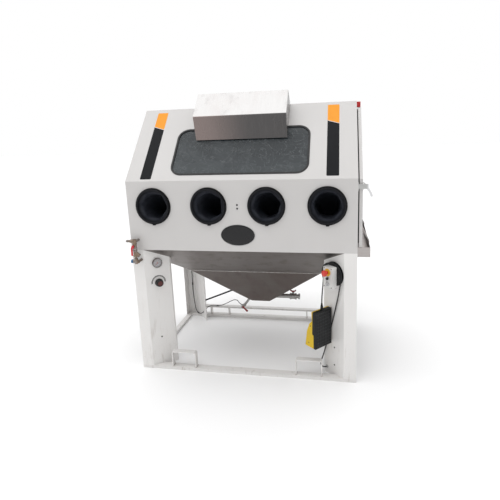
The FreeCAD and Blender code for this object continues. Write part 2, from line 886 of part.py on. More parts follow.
# Work floor: an open grating of flat bars that lies on the lips of the front and rear sheets.
grate_depth = size("grate_depth", 6)
grate_margin = size("grate_margin", 4)
grate_bar = size("grate_bar", 14)
grate_columns = 13
grate_rows = 8
grate_low = front_bottom + sheet_wall
grate_x = half_width - sheet_wall - grate_margin
grate_front = front + sheet_wall + grate_margin
grate_back = back - sheet_wall - grate_margin
cell_x = 2 * grate_x / grate_columns
cell_y = (grate_back - grate_front) / grate_rows
half_bar = float(grate_bar) / 2
bar_level = float(grate_low) + float(grate_depth) / 2
grate_end = float(grate_x)
bars = []
for i in range(grate_columns + 1):
    middle = float(cell_x) * i - grate_end
    low = max(middle - half_bar, -grate_end)
    high = min(middle + half_bar, grate_end)
    bars.append(
        Part.makeBox(
            high - low, float(grate_back - grate_front), float(grate_depth) / 2,
            Vector(low, float(grate_front), float(grate_low)),
        )
    )
for j in range(grate_rows + 1):
    middle = float(grate_front) + float(cell_y) * j
    low = max(middle - half_bar, float(grate_front))
    high = min(middle + half_bar, float(grate_back))
    bars.append(
        Part.makeBox(
            2 * grate_end, high - low, float(grate_depth) / 2, Vector(-grate_end, low, bar_level)
        )
    )
node("work_grate", shaped(Part.makeCompound(bars)))

# Blast guns: a turned body with a nozzle, and two hose tails, laid on the grating.
gun_radius = size("gun_radius", 21)
gun_length = size("gun_length", 150)
nozzle_radius = size("nozzle_radius", 12)
nozzle_length = size("nozzle_length", 55)
gun_outline = [
    (zero, zero), (zero + 9, zero), (zero + 9, zero + 28), (gun_radius, zero + 34),
    (gun_radius, gun_length - 20), (nozzle_radius + 4, gun_length),
    (nozzle_radius, gun_length), (nozzle_radius, gun_length + nozzle_length),
    (zero + 5, gun_length + nozzle_length), (zero + 5, gun_length + nozzle_length - 40),
    (zero, gun_length + nozzle_length - 44),
]
guns = []
for side in (-1, 1):
    lying = Frame(
        (side * port_pitch / 2, front + cabinet_depth / 2, grate_low + grate_depth + gun_radius),
        (1, 0, 0), (0, 0, 1), (0, -1, 0),
    )
    barrel = turned(lying, gun_outline, spin="in")
    tail = rod(lying, (0, 0, -60), 8, gun_radius + 32, "up")
    guns.append(fuse(barrel, tail))
node("blast_guns", group(*guns))

# Pressure gauge in the left leg.
gauge_proud = size("gauge_proud", 14)
gauge_can_depth = size("gauge_can_depth", 26)
gauge_place = left_leg_face.at(gauge_along, gauge_height, 0)
dial_level = gauge_proud - 8
case_outline = [
    (zero, -gauge_can_depth), (gauge_can_radius, -gauge_can_depth), (gauge_can_radius, zero),
    (gauge_radius, zero), (gauge_radius, gauge_proud - 2), (gauge_radius - 2, gauge_proud),
    (gauge_radius - 4, gauge_proud), (gauge_radius - 4, dial_level), (zero, dial_level),
]
node("gauge_case", turned(gauge_place, case_outline))
needle_rest = size("needle_rest", 135)
needle_hub = rod(gauge_place, (0, 0, dial_level + soft_gap), 3, 2.5)
needle_blade = pad(
    gauge_place.spun(needle_rest),
    [(-1.2, -8), (1.2, -8), (0.4, gauge_radius - 9), (-0.4, gauge_radius - 9)],
    1,
    at=(0, 0, dial_level + 1),
)
node("gauge_needle", fuse(needle_hub, needle_blade))
node(
    "gauge_lens",
    rod(gauge_place, (0, 0, gauge_proud - 3), gauge_radius - 4, size("lens_wall", 1.5)),
)

# Pressure regulator behind the left leg, with its knob in front.
knob_proud = size("knob_proud", 38)
knob_gap = size("knob_gap", 0.05)
collar_length = size("collar_length", 8)
regulator_depth = size("regulator_depth", 62)
regulator_radius = size("regulator_radius", 26)
knob_place = left_leg_face.at(gauge_along, knob_height, 0)
regulator_outline = [
    (knob_shaft_radius + knob_gap, -leg_wall), (knob_shaft_radius + knob_gap, collar_length),
    (knob_collar_radius + 5, collar_length), (knob_collar_radius + 5, zero),
    (knob_collar_radius, zero), (knob_collar_radius, -leg_wall),
    (regulator_radius, -leg_wall), (regulator_radius, -regulator_depth),
    (zero, -regulator_depth), (zero, -leg_wall - 14),
    (knob_shaft_radius + knob_gap, -leg_wall - 14),
]
node("regulator_body", turned(knob_place, regulator_outline))
knob_outline = [
    (zero, -leg_wall - 13), (knob_shaft_radius, -leg_wall - 13),
    (knob_shaft_radius, collar_length + soft_gap), (knob_radius, collar_length + soft_gap),
    (knob_radius, collar_length + 4), (knob_radius - 3, collar_length + 6),
    (knob_radius - 4, knob_proud - 3), (knob_radius - 7, knob_proud), (zero, knob_proud),
]
knob_blank = turned(knob_place, knob_outline)
flute_count = 18
flutes = []
for i in range(flute_count):
    turn = 2 * math.pi * i / flute_count
    x = knob_radius * math.cos(turn)
    y = knob_radius * math.sin(turn)
    flutes.append(rod(knob_place, (x, y, collar_length + 6), 2, knob_proud))
node("regulator_knob", cut(knob_blank, *flutes))

# Control box on its cord reel, on the right leg.
reel_along = size("reel_along", 84)
reel_height = size("reel_height", 730)
reel_core_radius = size("reel_core_radius", 66)
reel_flange_radius = size("reel_flange_radius", 80)
reel_depth = size("reel_depth", 35)
reel_flange_wall = size("reel_flange_wall", 3)
reel_place = right_leg_face.at(-reel_along, reel_height, 0)
reel_outline = [
    (zero, zero), (reel_flange_radius, zero), (reel_flange_radius, reel_flange_wall),
    (reel_core_radius, reel_flange_wall + 2), (reel_core_radius, reel_depth - reel_flange_wall - 2),
    (reel_flange_radius, reel_depth - reel_flange_wall), (reel_flange_radius, reel_depth),
    (zero, reel_depth),
]
node("cord_reel", turned(reel_place, reel_outline))
control_along = size("control_along", 69.5)
control_width = size("control_width", 77)
control_low = size("control_low", 656)
control_high = size("control_high", 793)
control_depth = size("control_depth", 40)
cover_wall = size("cover_wall", 14)
control_corner = size("control_corner", 6)
control_place = right_leg_face.at(-control_along, 0, reel_depth)
button_gap = size("button_gap", 0.1)
plunger_radius = size("plunger_radius", 10)
estop_height = size("estop_height", 759)
start_height = size("start_height", 719)
selector_height = size("selector_height", 684)
selector_shaft_radius = size("selector_shaft_radius", 7)
button_shafts = [
    (estop_height, plunger_radius),
    (start_height, plunger_radius),
    (selector_height, selector_shaft_radius),
]


def control_block(low, high):
    block = box(
        control_place,
        (-control_width / 2, control_low, low),
        (control_width / 2, control_high, high),
    )
    return rounded(block, control_corner, along(control_place, 2))


case_high = control_depth - cover_wall
shell_inside = box(
    control_place,
    (3 - control_width / 2, control_low + 3, zero + 3),
    (control_width / 2 - 3, control_high - 3, case_high + 1),
)
node("control_case", cut(control_block(zero, case_high), shell_inside))
shaft_holes = [
    rod(control_place, (0, height, case_high - 1), radius + button_gap, cover_wall + 2)
    for height, radius in button_shafts
]
cover_inside = box(
    control_place,
    (3 - control_width / 2, control_low + 3, case_high - 1),
    (control_width / 2 - 3, control_high - 3, control_depth - 4),
)
node("control_cover", cut(control_block(case_high, control_depth), cover_inside, *shaft_holes))
bezel_wall = size("bezel_wall", 4)
shroud_radius = size("shroud_radius", 24)
bezel_radius = size("bezel_radius", 15)
shroud_outline = [
    (plunger_radius + button_gap, control_depth), (shroud_radius, control_depth),
    (shroud_radius, control_depth + bezel_wall - 1), (shroud_radius - 1, control_depth + bezel_wall),
    (plunger_radius + button_gap, control_depth + bezel_wall),
]
node("estop_shroud", turned(control_place, shroud_outline, at=(0, estop_height, 0)))


def bezel(height, radius):
    return turned(
        control_place,
        [
            (radius + button_gap, control_depth), (bezel_radius, control_depth),
            (bezel_radius, control_depth + bezel_wall - 1),
            (bezel_radius - 1.5, control_depth + bezel_wall),
            (radius + button_gap, control_depth + bezel_wall),
        ],
        at=(0, height, 0),
    )


node("button_bezels", group(bezel(start_height, plunger_radius), bezel(selector_height, 7)))
button_tail = case_high - 8
mushroom_radius = size("mushroom_radius", 20)
mushroom_low = size("mushroom_low", 62)
mushroom_high = size("mushroom_high", 82)
stem_radius = size("stem_radius", 5)
head_outline = [
    (zero, button_tail), (plunger_radius, button_tail), (plunger_radius, mushroom_low - 3),
    (stem_radius + 2, mushroom_low - 1), (stem_radius + 2, mushroom_low),
    (mushroom_radius - 3, mushroom_low), (mushroom_radius, mushroom_low + 4),
    (mushroom_radius - 1, mushroom_high - 5), (mushroom_radius - 7, mushroom_high),
    (zero, mushroom_high),
]
node("estop_button", turned(control_place, head_outline, at=(0, estop_height, 0)))
start_outline = [
    (zero, button_tail), (plunger_radius, button_tail),
    (plunger_radius, control_depth + bezel_wall + 4),
    (plunger_radius - 1.5, control_depth + bezel_wall + 6),
    (zero, control_depth + bezel_wall + 6),
]
node("start_button", turned(control_place, start_outline, at=(0, start_height, 0)))
selector_high = control_depth + bezel_wall + soft_gap
selector_base = turned(
    control_place,
    [
        (zero, button_tail), (zero + 7, button_tail), (zero + 7, selector_high),
        (zero + 13, selector_high), (zero + 12, selector_high + 4), (zero, selector_high + 4),
    ],
    at=(0, selector_height, 0),
)
selector_grip = box(
    control_place,
    (-3.5, selector_height - 12, selector_high),
    (3.5, selector_height + 12, selector_high + 15),
)
node("selector_knob", fuse(selector_base, selector_grip))

# Foot pedal hanging by its cord beside the right leg: base, hood and treadle.
pedal_along = size("pedal_along", 96)
pedal_clear = size("pedal_clear", 14)
pedal_width = size("pedal_width", 146)
pedal_length = size("pedal_length", 250)
pedal_low = size("pedal_low", 248)
pedal_wall = size("pedal_wall", 4)
base_rise = size("base_rise", 30)
base_step = size("base_step", 18)
heel_rise = size("heel_rise", 31)
toe_rise = size("toe_rise", 95)
pedal_frame = Frame(
    right_leg_face.point((-pedal_along, pedal_low, pedal_clear + pedal_width / 2)),
    right_leg_face.axes[2], (0, 0, 1), (-leg_cos, leg_sin, 0),
)
pedal_section = Frame(
    pedal_frame.point((-pedal_width / 2, 0, 0)),
    (0, 0, 1), pedal_frame.axes[2], pedal_frame.axes[0],
)
step_at = pedal_length * 0.39
base_blank = pad(
    pedal_section,
    [
        (0, 0), (pedal_length, 0), (pedal_length, base_rise - 4), (step_at, base_rise),
        (step_at - 5, base_step), (0, base_step),
    ],
    pedal_width,
)
treadle_half = pedal_width / 2 - 11
hinge_up = pedal_length - 40
hinge_rise = size("hinge_rise", 20)
treadle_pin = size("treadle_pin", 4)
base_room = box(
    pedal_frame,
    (-treadle_half - 2, zero + 6, zero + 6),
    (treadle_half + 2, pedal_length - 22, base_rise + 2),
)
treadle_pin_hole = rod(
    pedal_frame,
    (-pedal_width / 2 + 1.5, hinge_up, hinge_rise),
    treadle_pin + 0.05,
    pedal_width - 3,
    "right",
)
gland_rise = size("gland_rise", 15)
pedal_base = cut(base_blank, base_room, treadle_pin_hole)
hood_edge = [
    (pedal_length, heel_rise + 4), (pedal_length * 0.75, heel_rise + 1),
    (pedal_length * 0.65, heel_rise + 25), (pedal_length * 0.42, toe_rise - 16), (0, toe_rise),
]
hood_blank = pad(
    pedal_section,
    [
        (0, base_step), (step_at - 5, base_step), (step_at, base_rise),
        (pedal_length, base_rise - 4),
    ] + hood_edge,
    pedal_width,
)
hood_room = pad(
    pedal_section,
    [
        (-2, base_step - 4), (step_at, base_step - 4), (step_at + 6, base_rise - 8),
        (pedal_length - 22, base_rise - 8), (pedal_length - 22, heel_rise),
        (pedal_length * 0.75 - 4, heel_rise - 3), (pedal_length * 0.65 - 3, heel_rise + 21),
        (pedal_length * 0.42 - 2, toe_rise - 20), (-2, toe_rise - pedal_wall),
    ],
    pedal_width - 2 * pedal_wall,
    at=(0, 0, pedal_wall),
)
node("pedal_hood", cut(hood_blank, hood_room))
treadle_outline = [
    (12, 36), (12, 44), (hinge_up - 24, hinge_rise + 5), (hinge_up + 7, hinge_rise + 5),
    (hinge_up + 7, hinge_rise - 5), (hinge_up - 24, hinge_rise - 5),
]
treadle_plate = pad(
    pedal_section,
    treadle_outline,
    2 * treadle_half,
    at=(0, 0, pedal_width / 2 - treadle_half),
)
pin = rod(
    pedal_frame, (-pedal_width / 2 + 2, hinge_up, hinge_rise), treadle_pin, pedal_width - 4, "right"
)
node("pedal_treadle", fuse(treadle_plate, pin))
cord_radius = size("cord_radius", 4)
gland_radius = size("gland_radius", 10)
gland_length = size("gland_length", 22)
gland_outline = [
    (zero, zero), (gland_radius, zero), (gland_radius, gland_length - 10),
    (gland_radius - 3, gland_length), (zero, gland_length),
]
gland = turned(pedal_frame, gland_outline, at=(0, pedal_length, gland_rise), spin="up")
node("pedal_base", fuse(pedal_base, gland))
grommet_proud = size("grommet_proud", 4)
grommet_outline = [
    (cord_radius, -leg_wall - 2), (cord_radius, grommet_proud), (grommet_radius + 2, grommet_proud - 1),
    (grommet_radius + 3, zero), (grommet_radius, zero), (grommet_radius, -leg_wall - 2),
]
grommet = turned(right_leg_face, grommet_outline, at=(-grommet_along, grommet_height, 0))


def tube_along(points, radius, label):
    """A tube of straight runs joined by tangent arcs as large as the runs allow."""
    edges = []
    last = points[0]
    radii = []
    for i in range(1, len(points) - 1):
        before = points[i - 1] - points[i]
        after = points[i + 1] - points[i]
        turn = math.pi - before.getAngle(after)
        trim = 0.45 * min(before.Length, after.Length)
        bend = trim / math.tan(turn / 2)
        radii.append(bend)
        first = points[i] + before.normalize() * trim
        final = points[i] + after.normalize() * trim
        middle_way = (before + after).normalize()
        centre = points[i] + middle_way * (bend / math.cos(turn / 2))
        middle = centre - middle_way * bend
        edges.append(Part.LineSegment(last, first).toShape())
        edges.append(Part.Arc(first, middle, final).toShape())
        last = final
    edges.append(Part.LineSegment(last, points[-1]).toShape())
    path = Part.Wire(edges)
    start_way = (points[1] - points[0]).normalize()
    ring = Part.Wire(Part.makeCircle(float(radius), points[0], start_way))
    solid = path.makePipeShell([ring], True, False)
    expected = math.pi * float(radius) ** 2 * path.Length
    print(label, "length", round(path.Length), "least bend", round(min(radii), 1),
          "volume share", round(solid.Volume / expected, 4))
    return solid


# The pedal's cord: up from the gland, over the reel, and down the leg to its grommet.
cord_level = reel_depth / 2
cord_ride = reel_core_radius + 9
gland_top = pedal_low + pedal_length + gland_length
gland_out = pedal_clear + pedal_width / 2
gland_along = pedal_along + gland_rise
reel_steps = (174, 146, 112, 78, 44, 12)
cord_places = [
    (gland_along, gland_top, gland_out),
    (gland_along, gland_top + 34, gland_out),
    (gland_along + 10, gland_top + 84, gland_out - 14),
    (gland_along + 32, gland_top + 132, gland_out - 44),
    (gland_along + 50, gland_top + 176, gland_out - 66),
]
for step in reel_steps:
    turn = math.radians(step)
    reach = cord_ride * (1 / math.cos(math.radians(17)))
    cord_places.append(
        (reel_along - reach * math.cos(turn), reel_height + reach * math.sin(turn), cord_level)
    )
for spot in (
    (14, 690, 17), (26, 640, 15), (40, 584, 12.5), (57, 528, 9.5), (73, 470, 7.5), (90, 412, 6.5),
    (107, 354, 6), (124, 296, 6), (141, 240, 7), (156, 188, 8.5), (167, 142, 14), (171, 104, 28.5),
    (170, 84, 42), (163, 60, 40), (155, 46, 24),
):
    cord_places.append(spot)
cord_places.append((grommet_along, grommet_height, grommet_proud))
cord_points = [right_leg_face.vector((-a, b, c)) for a, b, c in cord_places]
node("pedal_cord", shaped(tube_along(cord_points, cord_radius, "pedal cord")))

# Side door with its seal, hinges, latch, safety switch, drip tray and brace bars.
door_gap = size("door_gap", 8)
door_depth = size("door_depth", 20)
door_lip = size("door_lip", 22)
seal_inset = size("seal_inset", 14)
seal_width = size("seal_width", 20)
door_outline = side_outline(door_edge_gap, door_bottom_gap, door_top_gap, door_edge_gap)
door_blank = pad(right_wall, door_outline, door_depth, at=(0, 0, door_gap))


def door_inset(amount):
    return side_outline(
        door_edge_gap + amount, door_bottom_gap + amount, door_top_gap + amount, door_edge_gap + amount
    )


door_hollow = pad(
    right_wall, door_inset(seal_inset + seal_width + 4), door_depth - sheet_wall, at=(0, 0, door_gap)
)
latch_height = size("latch_height", 1296)
latch_setback = size("latch_setback", 42)
latch_shaft_radius = size("latch_shaft_radius", 7)
latch_place = Frame(
    (half_width + door_gap, front + latch_setback, latch_height), (0, 1, 0), (0, 0, 1), (1, 0, 0)
)
node("door_panel", cut(door_blank, door_hollow))
seal_outer = pad(
    right_wall, door_inset(seal_inset), door_gap - soft_gap, at=(0, 0, zero + soft_gap)
)
seal_inner = pad(right_wall, door_inset(seal_inset + seal_width), door_gap + 2, at=(0, 0, -1))
node("door_seal", cut(seal_outer, seal_inner))

hinge_radius = size("hinge_radius", 7)
hinge_pin_radius = size("hinge_pin_radius", 3)
hinge_pin_gap = size("hinge_pin_gap", 0.05)
hinge_length = size("hinge_length", 100)
hinge_rear = back - door_edge_gap + 10
hinge_line = half_width + door_gap + 14
hinge_heights = (size("lower_hinge", 1010), size("upper_hinge", 1640))
fixed_hinges, moving_hinges = [], []
for height in hinge_heights:
    spot = Frame((hinge_line, hinge_rear, height), (1, 0, 0), (0, 1, 0), (0, 0, 1))
    third = hinge_length / 3
    pin_rod = rod(spot, (0, 0, 0), hinge_pin_radius, hinge_length)
    lower = rod(spot, (0, 0, 0), hinge_radius, third - 0.5)
    upper = rod(spot, (0, 0, 2 * third + 0.5), hinge_radius, third - 0.5)
    webs = [
        box(spot, (half_width - hinge_line, -3, start), (0, 3, start + third - 0.5))
        for start in (zero, 2 * third + 0.5)
    ]
    leaf = box(
        spot, (half_width - hinge_line, -4, zero), (half_width - hinge_line + 3, 6, zero + hinge_length)
    )
    fixed_hinges.append(fuse(pin_rod, lower, upper, leaf, *webs))
    knuckle = turned(
        spot,
        [
            (hinge_pin_radius + hinge_pin_gap, third), (hinge_radius, third),
            (hinge_radius, 2 * third), (hinge_pin_radius + hinge_pin_gap, 2 * third),
        ],
    )
    door_face_x = half_width + door_gap + door_depth - hinge_line
    strap = box(spot, (door_face_x, -58, zero), (door_face_x + 3, -1, hinge_length))
    strap_root = box(
        spot, (hinge_radius - 3, -6, third), (door_face_x + 3, -1, 2 * third)
    )
    pin_room = rod(spot, (0, 0, -1), hinge_pin_radius + hinge_pin_gap, hinge_length + 2)
    knuckle_room = [
        rod(spot, (0, 0, start), hinge_radius + 1, third + 1) for start in (zero - 1, 2 * third)
    ]
    moving_hinges.append(fuse(knuckle, cut(fuse(strap, strap_root), pin_room, *knuckle_room)))

latch_gap = size("latch_gap", 0.05)
latch_boss_height = size("latch_boss_height", 16)
latch_top = door_depth + latch_boss_height
latch_boss_outline = [
    (zero, door_depth), (zero + 22, door_depth), (zero + 22, door_depth + 5), (zero + 13, latch_top),
    (latch_shaft_radius + latch_gap, latch_top), (latch_shaft_radius + latch_gap, door_depth + 3),
    (zero, door_depth + 3),
]
latch_boss = turned(latch_place, latch_boss_outline)
latch_reach = size("latch_reach", 66)
latch_proud = size("latch_proud", 80)
latch_width = size("latch_width", 14)
shaft = rod(latch_place, (0, 0, door_depth + 3.3), latch_shaft_radius, latch_boss_height + 6)
latch_lever = pad(
    Frame(latch_place.point((latch_width / 2, 0, 0)), (0, 0, -1), (1, 0, 0), (0, -1, 0)),
    [
        (-11, latch_top + soft_gap), (11, latch_top + soft_gap), (latch_reach - 26, latch_proud - 22),
        (latch_reach, latch_proud - 12), (latch_reach - 2, latch_proud),
        (latch_reach - 22, latch_proud - 6), (8, latch_top + 18), (-11, latch_top + 18),
    ],
    latch_width,
)
cam_reach = size("cam_reach", 30)
cam_wall = size("cam_wall", 6)
cam = box(
    latch_place, (-cam_reach, -9, latch_top + soft_gap), (zero, 9, latch_top + soft_gap + cam_wall)
)
node("latch_handle", fuse(shaft, latch_lever, cam))
keeper_width = size("keeper_width", 6)
keeper_y = 3 - latch_setback
keeper_foot = box(
    latch_place, (keeper_y - 2, -26, -door_gap), (keeper_y + keeper_width + 4, 26, 3 - door_gap)
)
keeper_post = box(
    latch_place, (keeper_y, -14, -door_gap), (keeper_y + keeper_width, 14, latch_top + cam_wall + 4)
)
keeper = fuse(keeper_foot, keeper_post)
node("fixed_hinges", group(*fixed_hinges, keeper))

switch_width = size("switch_width", 25)
switch_height = size("switch_height", 36)
switch_setback = size("switch_setback", 400)
switch_low = top_height - door_top_gap + 4
node(
    "door_switch",
    rounded(
        box(
            world,
            (half_width, front + switch_setback, switch_low),
            (half_width + switch_width, front + switch_setback + 34, switch_low + switch_height),
        ),
        3,
        lambda middle, way: abs(way.x) > 0.999,
    ),
)
switch_key = box(
    world,
    (half_width + door_gap + 2, front + switch_setback + 8, top_height - door_top_gap),
    (half_width + door_gap + 14, front + switch_setback + 26, switch_low - soft_gap),
)
node("door_hardware", group(*moving_hinges, latch_boss, switch_key))

tray_width = size("tray_width", 77)
tray_low = size("tray_low", 855)
tray_high = size("tray_high", 917)
tray_wall = size("tray_wall", 2)
tray_gap = size("tray_gap", 1)
tray_front = front + 20
tray_back = back - 25
tray_place = Frame((half_width + tray_gap, 0, 0), (1, 0, 0), (0, 1, 0), (0, 0, 1))
tray_block = box(tray_place, (zero, tray_front, tray_low), (tray_width, tray_back, tray_high))
tray_room = box(
    tray_place,
    (tray_wall, tray_front + tray_wall, tray_low + tray_wall),
    (tray_width - tray_wall, tray_back - tray_wall, tray_high + 1),
)
tab_x = door_gap + door_depth - tray_gap
tray_tabs = []
for place_y in (tray_front + 120, tray_back - 180):
    tray_tabs.append(
        box(
            tray_place,
            (tab_x, place_y, tray_low + tray_wall),
            (tab_x + tray_wall, place_y + 60, front_bottom + door_bottom_gap + 30),
        )
    )
brace_wall = size("brace_wall", 4)
brace_width = size("brace_width", 20)
brace_top = size("brace_top", 1020)
brace_foot_x = tray_width
braces = []
for place_y in (tray_front + 170, tray_back - 150):
    brace_frame = Frame((half_width + tray_gap, place_y, 0), (1, 0, 0), (0, 0, 1), (0, -1, 0))
    braces.append(
        pad(
            brace_frame,
            [
                (tab_x, brace_top), (tab_x, brace_top - 22), (tab_x + 5, brace_top - 22),
                (tray_width, tray_high), (tray_width, tray_high - 26),
                (tray_width + brace_wall, tray_high - 26), (tray_width + brace_wall, tray_high + 4),
                (tab_x + 8, brace_top),
            ],
            brace_width,
        )
    )
node("drip_tray", fuse(cut(tray_block, tray_room), *tray_tabs, *braces))

# Water and air inlet on the front of the left leg and panel.
inlet_x = size("inlet_x", -703)
inlet_out = size("inlet_out", 42)
inlet_top = size("inlet_top", 952)
inlet_bottom = size("inlet_bottom", 813)
inlet_pipe_radius = size("inlet_pipe_radius", 9)
inlet_valve_low = size("inlet_valve_low", 902)
inlet_valve_high = size("inlet_valve_high", 938)
inlet_valve_radius = size("inlet_valve_radius", 15)
strainer_low = size("strainer_low", 846)
strainer_high = size("strainer_high", 896)
strainer_radius = size("strainer_radius", 15)
inlet_place = front_face.at(inlet_x, 0, inlet_out)
riser_length = inlet_top - inlet_valve_high + 12
riser_top = rod(inlet_place, (0, inlet_valve_high, 0), inlet_pipe_radius, riser_length, "up")
top_stub = rod(inlet_place, (8, inlet_top, -inlet_out), inlet_pipe_radius, inlet_out + 10)
top_branch = rod(inlet_place, (0, inlet_top, 0), inlet_pipe_radius + 3, 26, "left")
hose_tail = turned(
    inlet_place,
    [
        (zero, zero + 20), (zero + 9, zero + 20), (zero + 7, zero + 34), (zero + 9, zero + 34),
        (zero + 7, zero + 46), (zero + 9, zero + 46), (zero + 7, zero + 58), (zero, zero + 58),
    ],
    at=(0, inlet_top, 0),
    spin="left",
)
top_block = rod(inlet_place, (0, inlet_top - 14, 0), inlet_pipe_radius + 4, 28, "up")
valve_shaft_radius = size("valve_shaft_radius", 4)
valve_body = turned(
    inlet_place,
    [
        (inlet_pipe_radius - 3, inlet_valve_low), (inlet_valve_radius, inlet_valve_low),
        (inlet_valve_radius, inlet_valve_low + 8), (inlet_valve_radius - 2, inlet_valve_low + 10),
        (inlet_valve_radius - 2, inlet_valve_high - 10), (inlet_valve_radius, inlet_valve_high - 8),
        (inlet_valve_radius, inlet_valve_high), (inlet_pipe_radius - 3, inlet_valve_high),
    ],
    spin="up",
)
valve_middle = (inlet_valve_low + inlet_valve_high) / 2
lever_out = inlet_valve_radius + 8
lever_foot = (0, valve_middle, inlet_pipe_radius)
valve_stem_blank = rod(inlet_place, lever_foot, 8, lever_out - inlet_pipe_radius - 1)
lever_shaft_hole = rod(inlet_place, lever_foot, valve_shaft_radius + 0.05, 3 * inlet_valve_radius)
inlet_valve = cut(fuse(valve_body, valve_stem_blank), lever_shaft_hole)
lever_shaft = rod(
    inlet_place,
    (0, valve_middle, inlet_pipe_radius + 1),
    valve_shaft_radius,
    lever_out - inlet_pipe_radius + 4,
)
lever_reach = size("lever_reach", 62)
lever_blade = pad(
    inlet_place,
    [
        (8, valve_middle + 9), (-8, valve_middle + 9), (-16, valve_middle - 12),
        (-17, valve_middle - lever_reach), (-5, valve_middle - lever_reach), (-4, valve_middle - 14),
        (8, valve_middle - 8),
    ],
    3,
    at=(0, 0, lever_out),
)
node("inlet_lever", fuse(lever_shaft, lever_blade))
strainer_body = turned(
    inlet_place,
    [
        (zero, strainer_low - 12), (inlet_pipe_radius, strainer_low - 12),
        (inlet_pipe_radius, strainer_low),
        (strainer_radius, strainer_low), (strainer_radius, strainer_low + 10),
        (strainer_radius - 3, strainer_low + 12), (strainer_radius - 3, strainer_high - 12),
        (strainer_radius, strainer_high - 10), (strainer_radius, strainer_high),
        (inlet_pipe_radius, strainer_high), (inlet_pipe_radius, inlet_valve_low),
        (zero, inlet_valve_low),
    ],
    spin="up",
)
branch_frame = Frame(
    inlet_place.point((0, strainer_high - 18, 0)),
    (0, 1, 0), (math.sqrt(0.5), 0, math.sqrt(0.5)), (math.sqrt(0.5), 0, -math.sqrt(0.5)),
)
strainer_branch = rod(branch_frame, (0, 0, 0), strainer_radius - 3, 34)
strainer_cap = rod(branch_frame, (0, 0, 30), strainer_radius - 1, 9)
tee_centre = inlet_bottom
tee_high = strainer_low - 12
tee = (
    rod(inlet_place, (0, tee_centre - 16, 0), inlet_pipe_radius + 3, tee_high - tee_centre + 16, "up"),
    rod(inlet_place, (-18, tee_centre, 0), inlet_pipe_radius + 3, 40, "right"),
    rod(inlet_place, (18, tee_centre, -inlet_out), inlet_pipe_radius, inlet_out + 8),
)
tap_radius = size("tap_radius", 13)
tap_place = inlet_place.at(-18, tee_centre, 0)
tap_hole = rod(tap_place, (0, 0, 0), valve_shaft_radius + 0.05, 14, "right")
node(
    "inlet_pipework",
    cut(
        fuse(
            riser_top, top_stub, top_branch, hose_tail, top_block, inlet_valve,
            strainer_body, strainer_branch, strainer_cap, *tee,
        ),
        tap_hole,
    ),
)
tap_outline = [
    (zero, -13), (valve_shaft_radius, -13), (valve_shaft_radius, 0.3), (tap_radius - 2, 0.3),
    (tap_radius, 2), (tap_radius, 13), (tap_radius - 2, 15), (zero, 15),
]
node("inlet_tap_knob", turned(tap_place, tap_outline, spin="left"))

# Drain at the hopper's right: pipe, ball valve and handle.
drain_valve_radius = size("drain_valve_radius", 27)
drain_valve_length = size("drain_valve_length", 55)
drain_pipe = cut(
    rod(drain_axis, (0, 0, hopper_floor_half), drain_radius, drain_end - hopper_floor_half),
    hopper_form(zero, zero),
    rod(drain_axis, (0, 0, zero), drain_bore, drain_end + 10),
)
valve_turned = turned(
    drain_axis,
    [
        (drain_bore, drain_end), (drain_valve_radius, drain_end),
        (drain_valve_radius, drain_end + 12), (drain_valve_radius - 4, drain_end + 15),
        (drain_valve_radius - 4, drain_end + drain_valve_length - 15),
        (drain_valve_radius, drain_end + drain_valve_length - 12),
        (drain_valve_radius, drain_end + drain_valve_length),
        (drain_radius - 1, drain_end + drain_valve_length),
        (drain_radius - 1, drain_end + drain_valve_length + 14),
        (drain_radius + 6, drain_end + drain_valve_length + 16),
        (drain_radius + 6, drain_end + drain_valve_length + 28),
        (drain_bore, drain_end + drain_valve_length + 28),
    ],
)
drain_middle = drain_end + drain_valve_length / 2
bonnet_top = drain_valve_radius + 10
bonnet = rod(drain_axis, (0, drain_bore + 2, drain_middle), 9, bonnet_top - drain_bore - 2, "up")
drain_stem_hole = rod(
    drain_axis, (0, drain_bore + 2, drain_middle), valve_shaft_radius + 0.05, bonnet_top, "up"
)
node("drain_valve", cut(fuse(drain_pipe, valve_turned, bonnet), drain_stem_hole))
drain_stem = rod(
    drain_axis, (0, drain_bore + 3, drain_middle), valve_shaft_radius, bonnet_top - drain_bore + 6, "up"
)
wing = pad(
    Frame(drain_axis.point((0, bonnet_top, drain_middle)), (1, 0, 0), (0, 0, 1), (0, -1, 0)),
    [
        (-10, 1), (10, 1), (24, 9), (26, 17), (20, 19),
        (8, 11), (-8, 11), (-20, 19), (-26, 17), (-24, 9),
    ],
    10,
    at=(0, 0, -5),
)
node("drain_handle", fuse(drain_stem, wing))

# Sample valve square to the hopper's lower left face.
face_run = hopper_fold_half - hopper_floor_half
face_rise = hopper_fold_height - hopper_floor_height
face_length = root(face_run * face_run + face_rise * face_rise)
face_cos = face_run / face_length
face_sin = face_rise / face_length
sample_inset = size("sample_inset", 30)
sample_setback = hopper_floor_setback + sample_inset
sample_up = size("sample_up", 24)
sample_radius = size("sample_radius", 10)
sample_length = size("sample_length", 84)
sample_face = Frame(
    (-hopper_floor_half, front + sample_setback, hopper_floor_height),
    (0, -1, 0), (-face_cos, 0, face_sin), (-face_sin, 0, -face_cos),
).at(0, sample_up, 0)
sample_pipe = rod(sample_face, (0, 0, 0), sample_radius, sample_length)
sample_body_blank = turned(
    sample_face,
    [
        (zero, sample_length), (zero + 14, sample_length), (zero + 14, sample_length + 8),
        (zero + 12, sample_length + 10), (zero + 12, sample_length + 26),
        (zero + 14, sample_length + 28), (zero + 14, sample_length + 36),
        (zero, sample_length + 36),
    ],
)
sample_middle = sample_length + 18
sample_bonnet = rod(sample_face, (zero + 8, 0, sample_middle), 7, 10, "right")
barb_length = size("barb_length", 24)
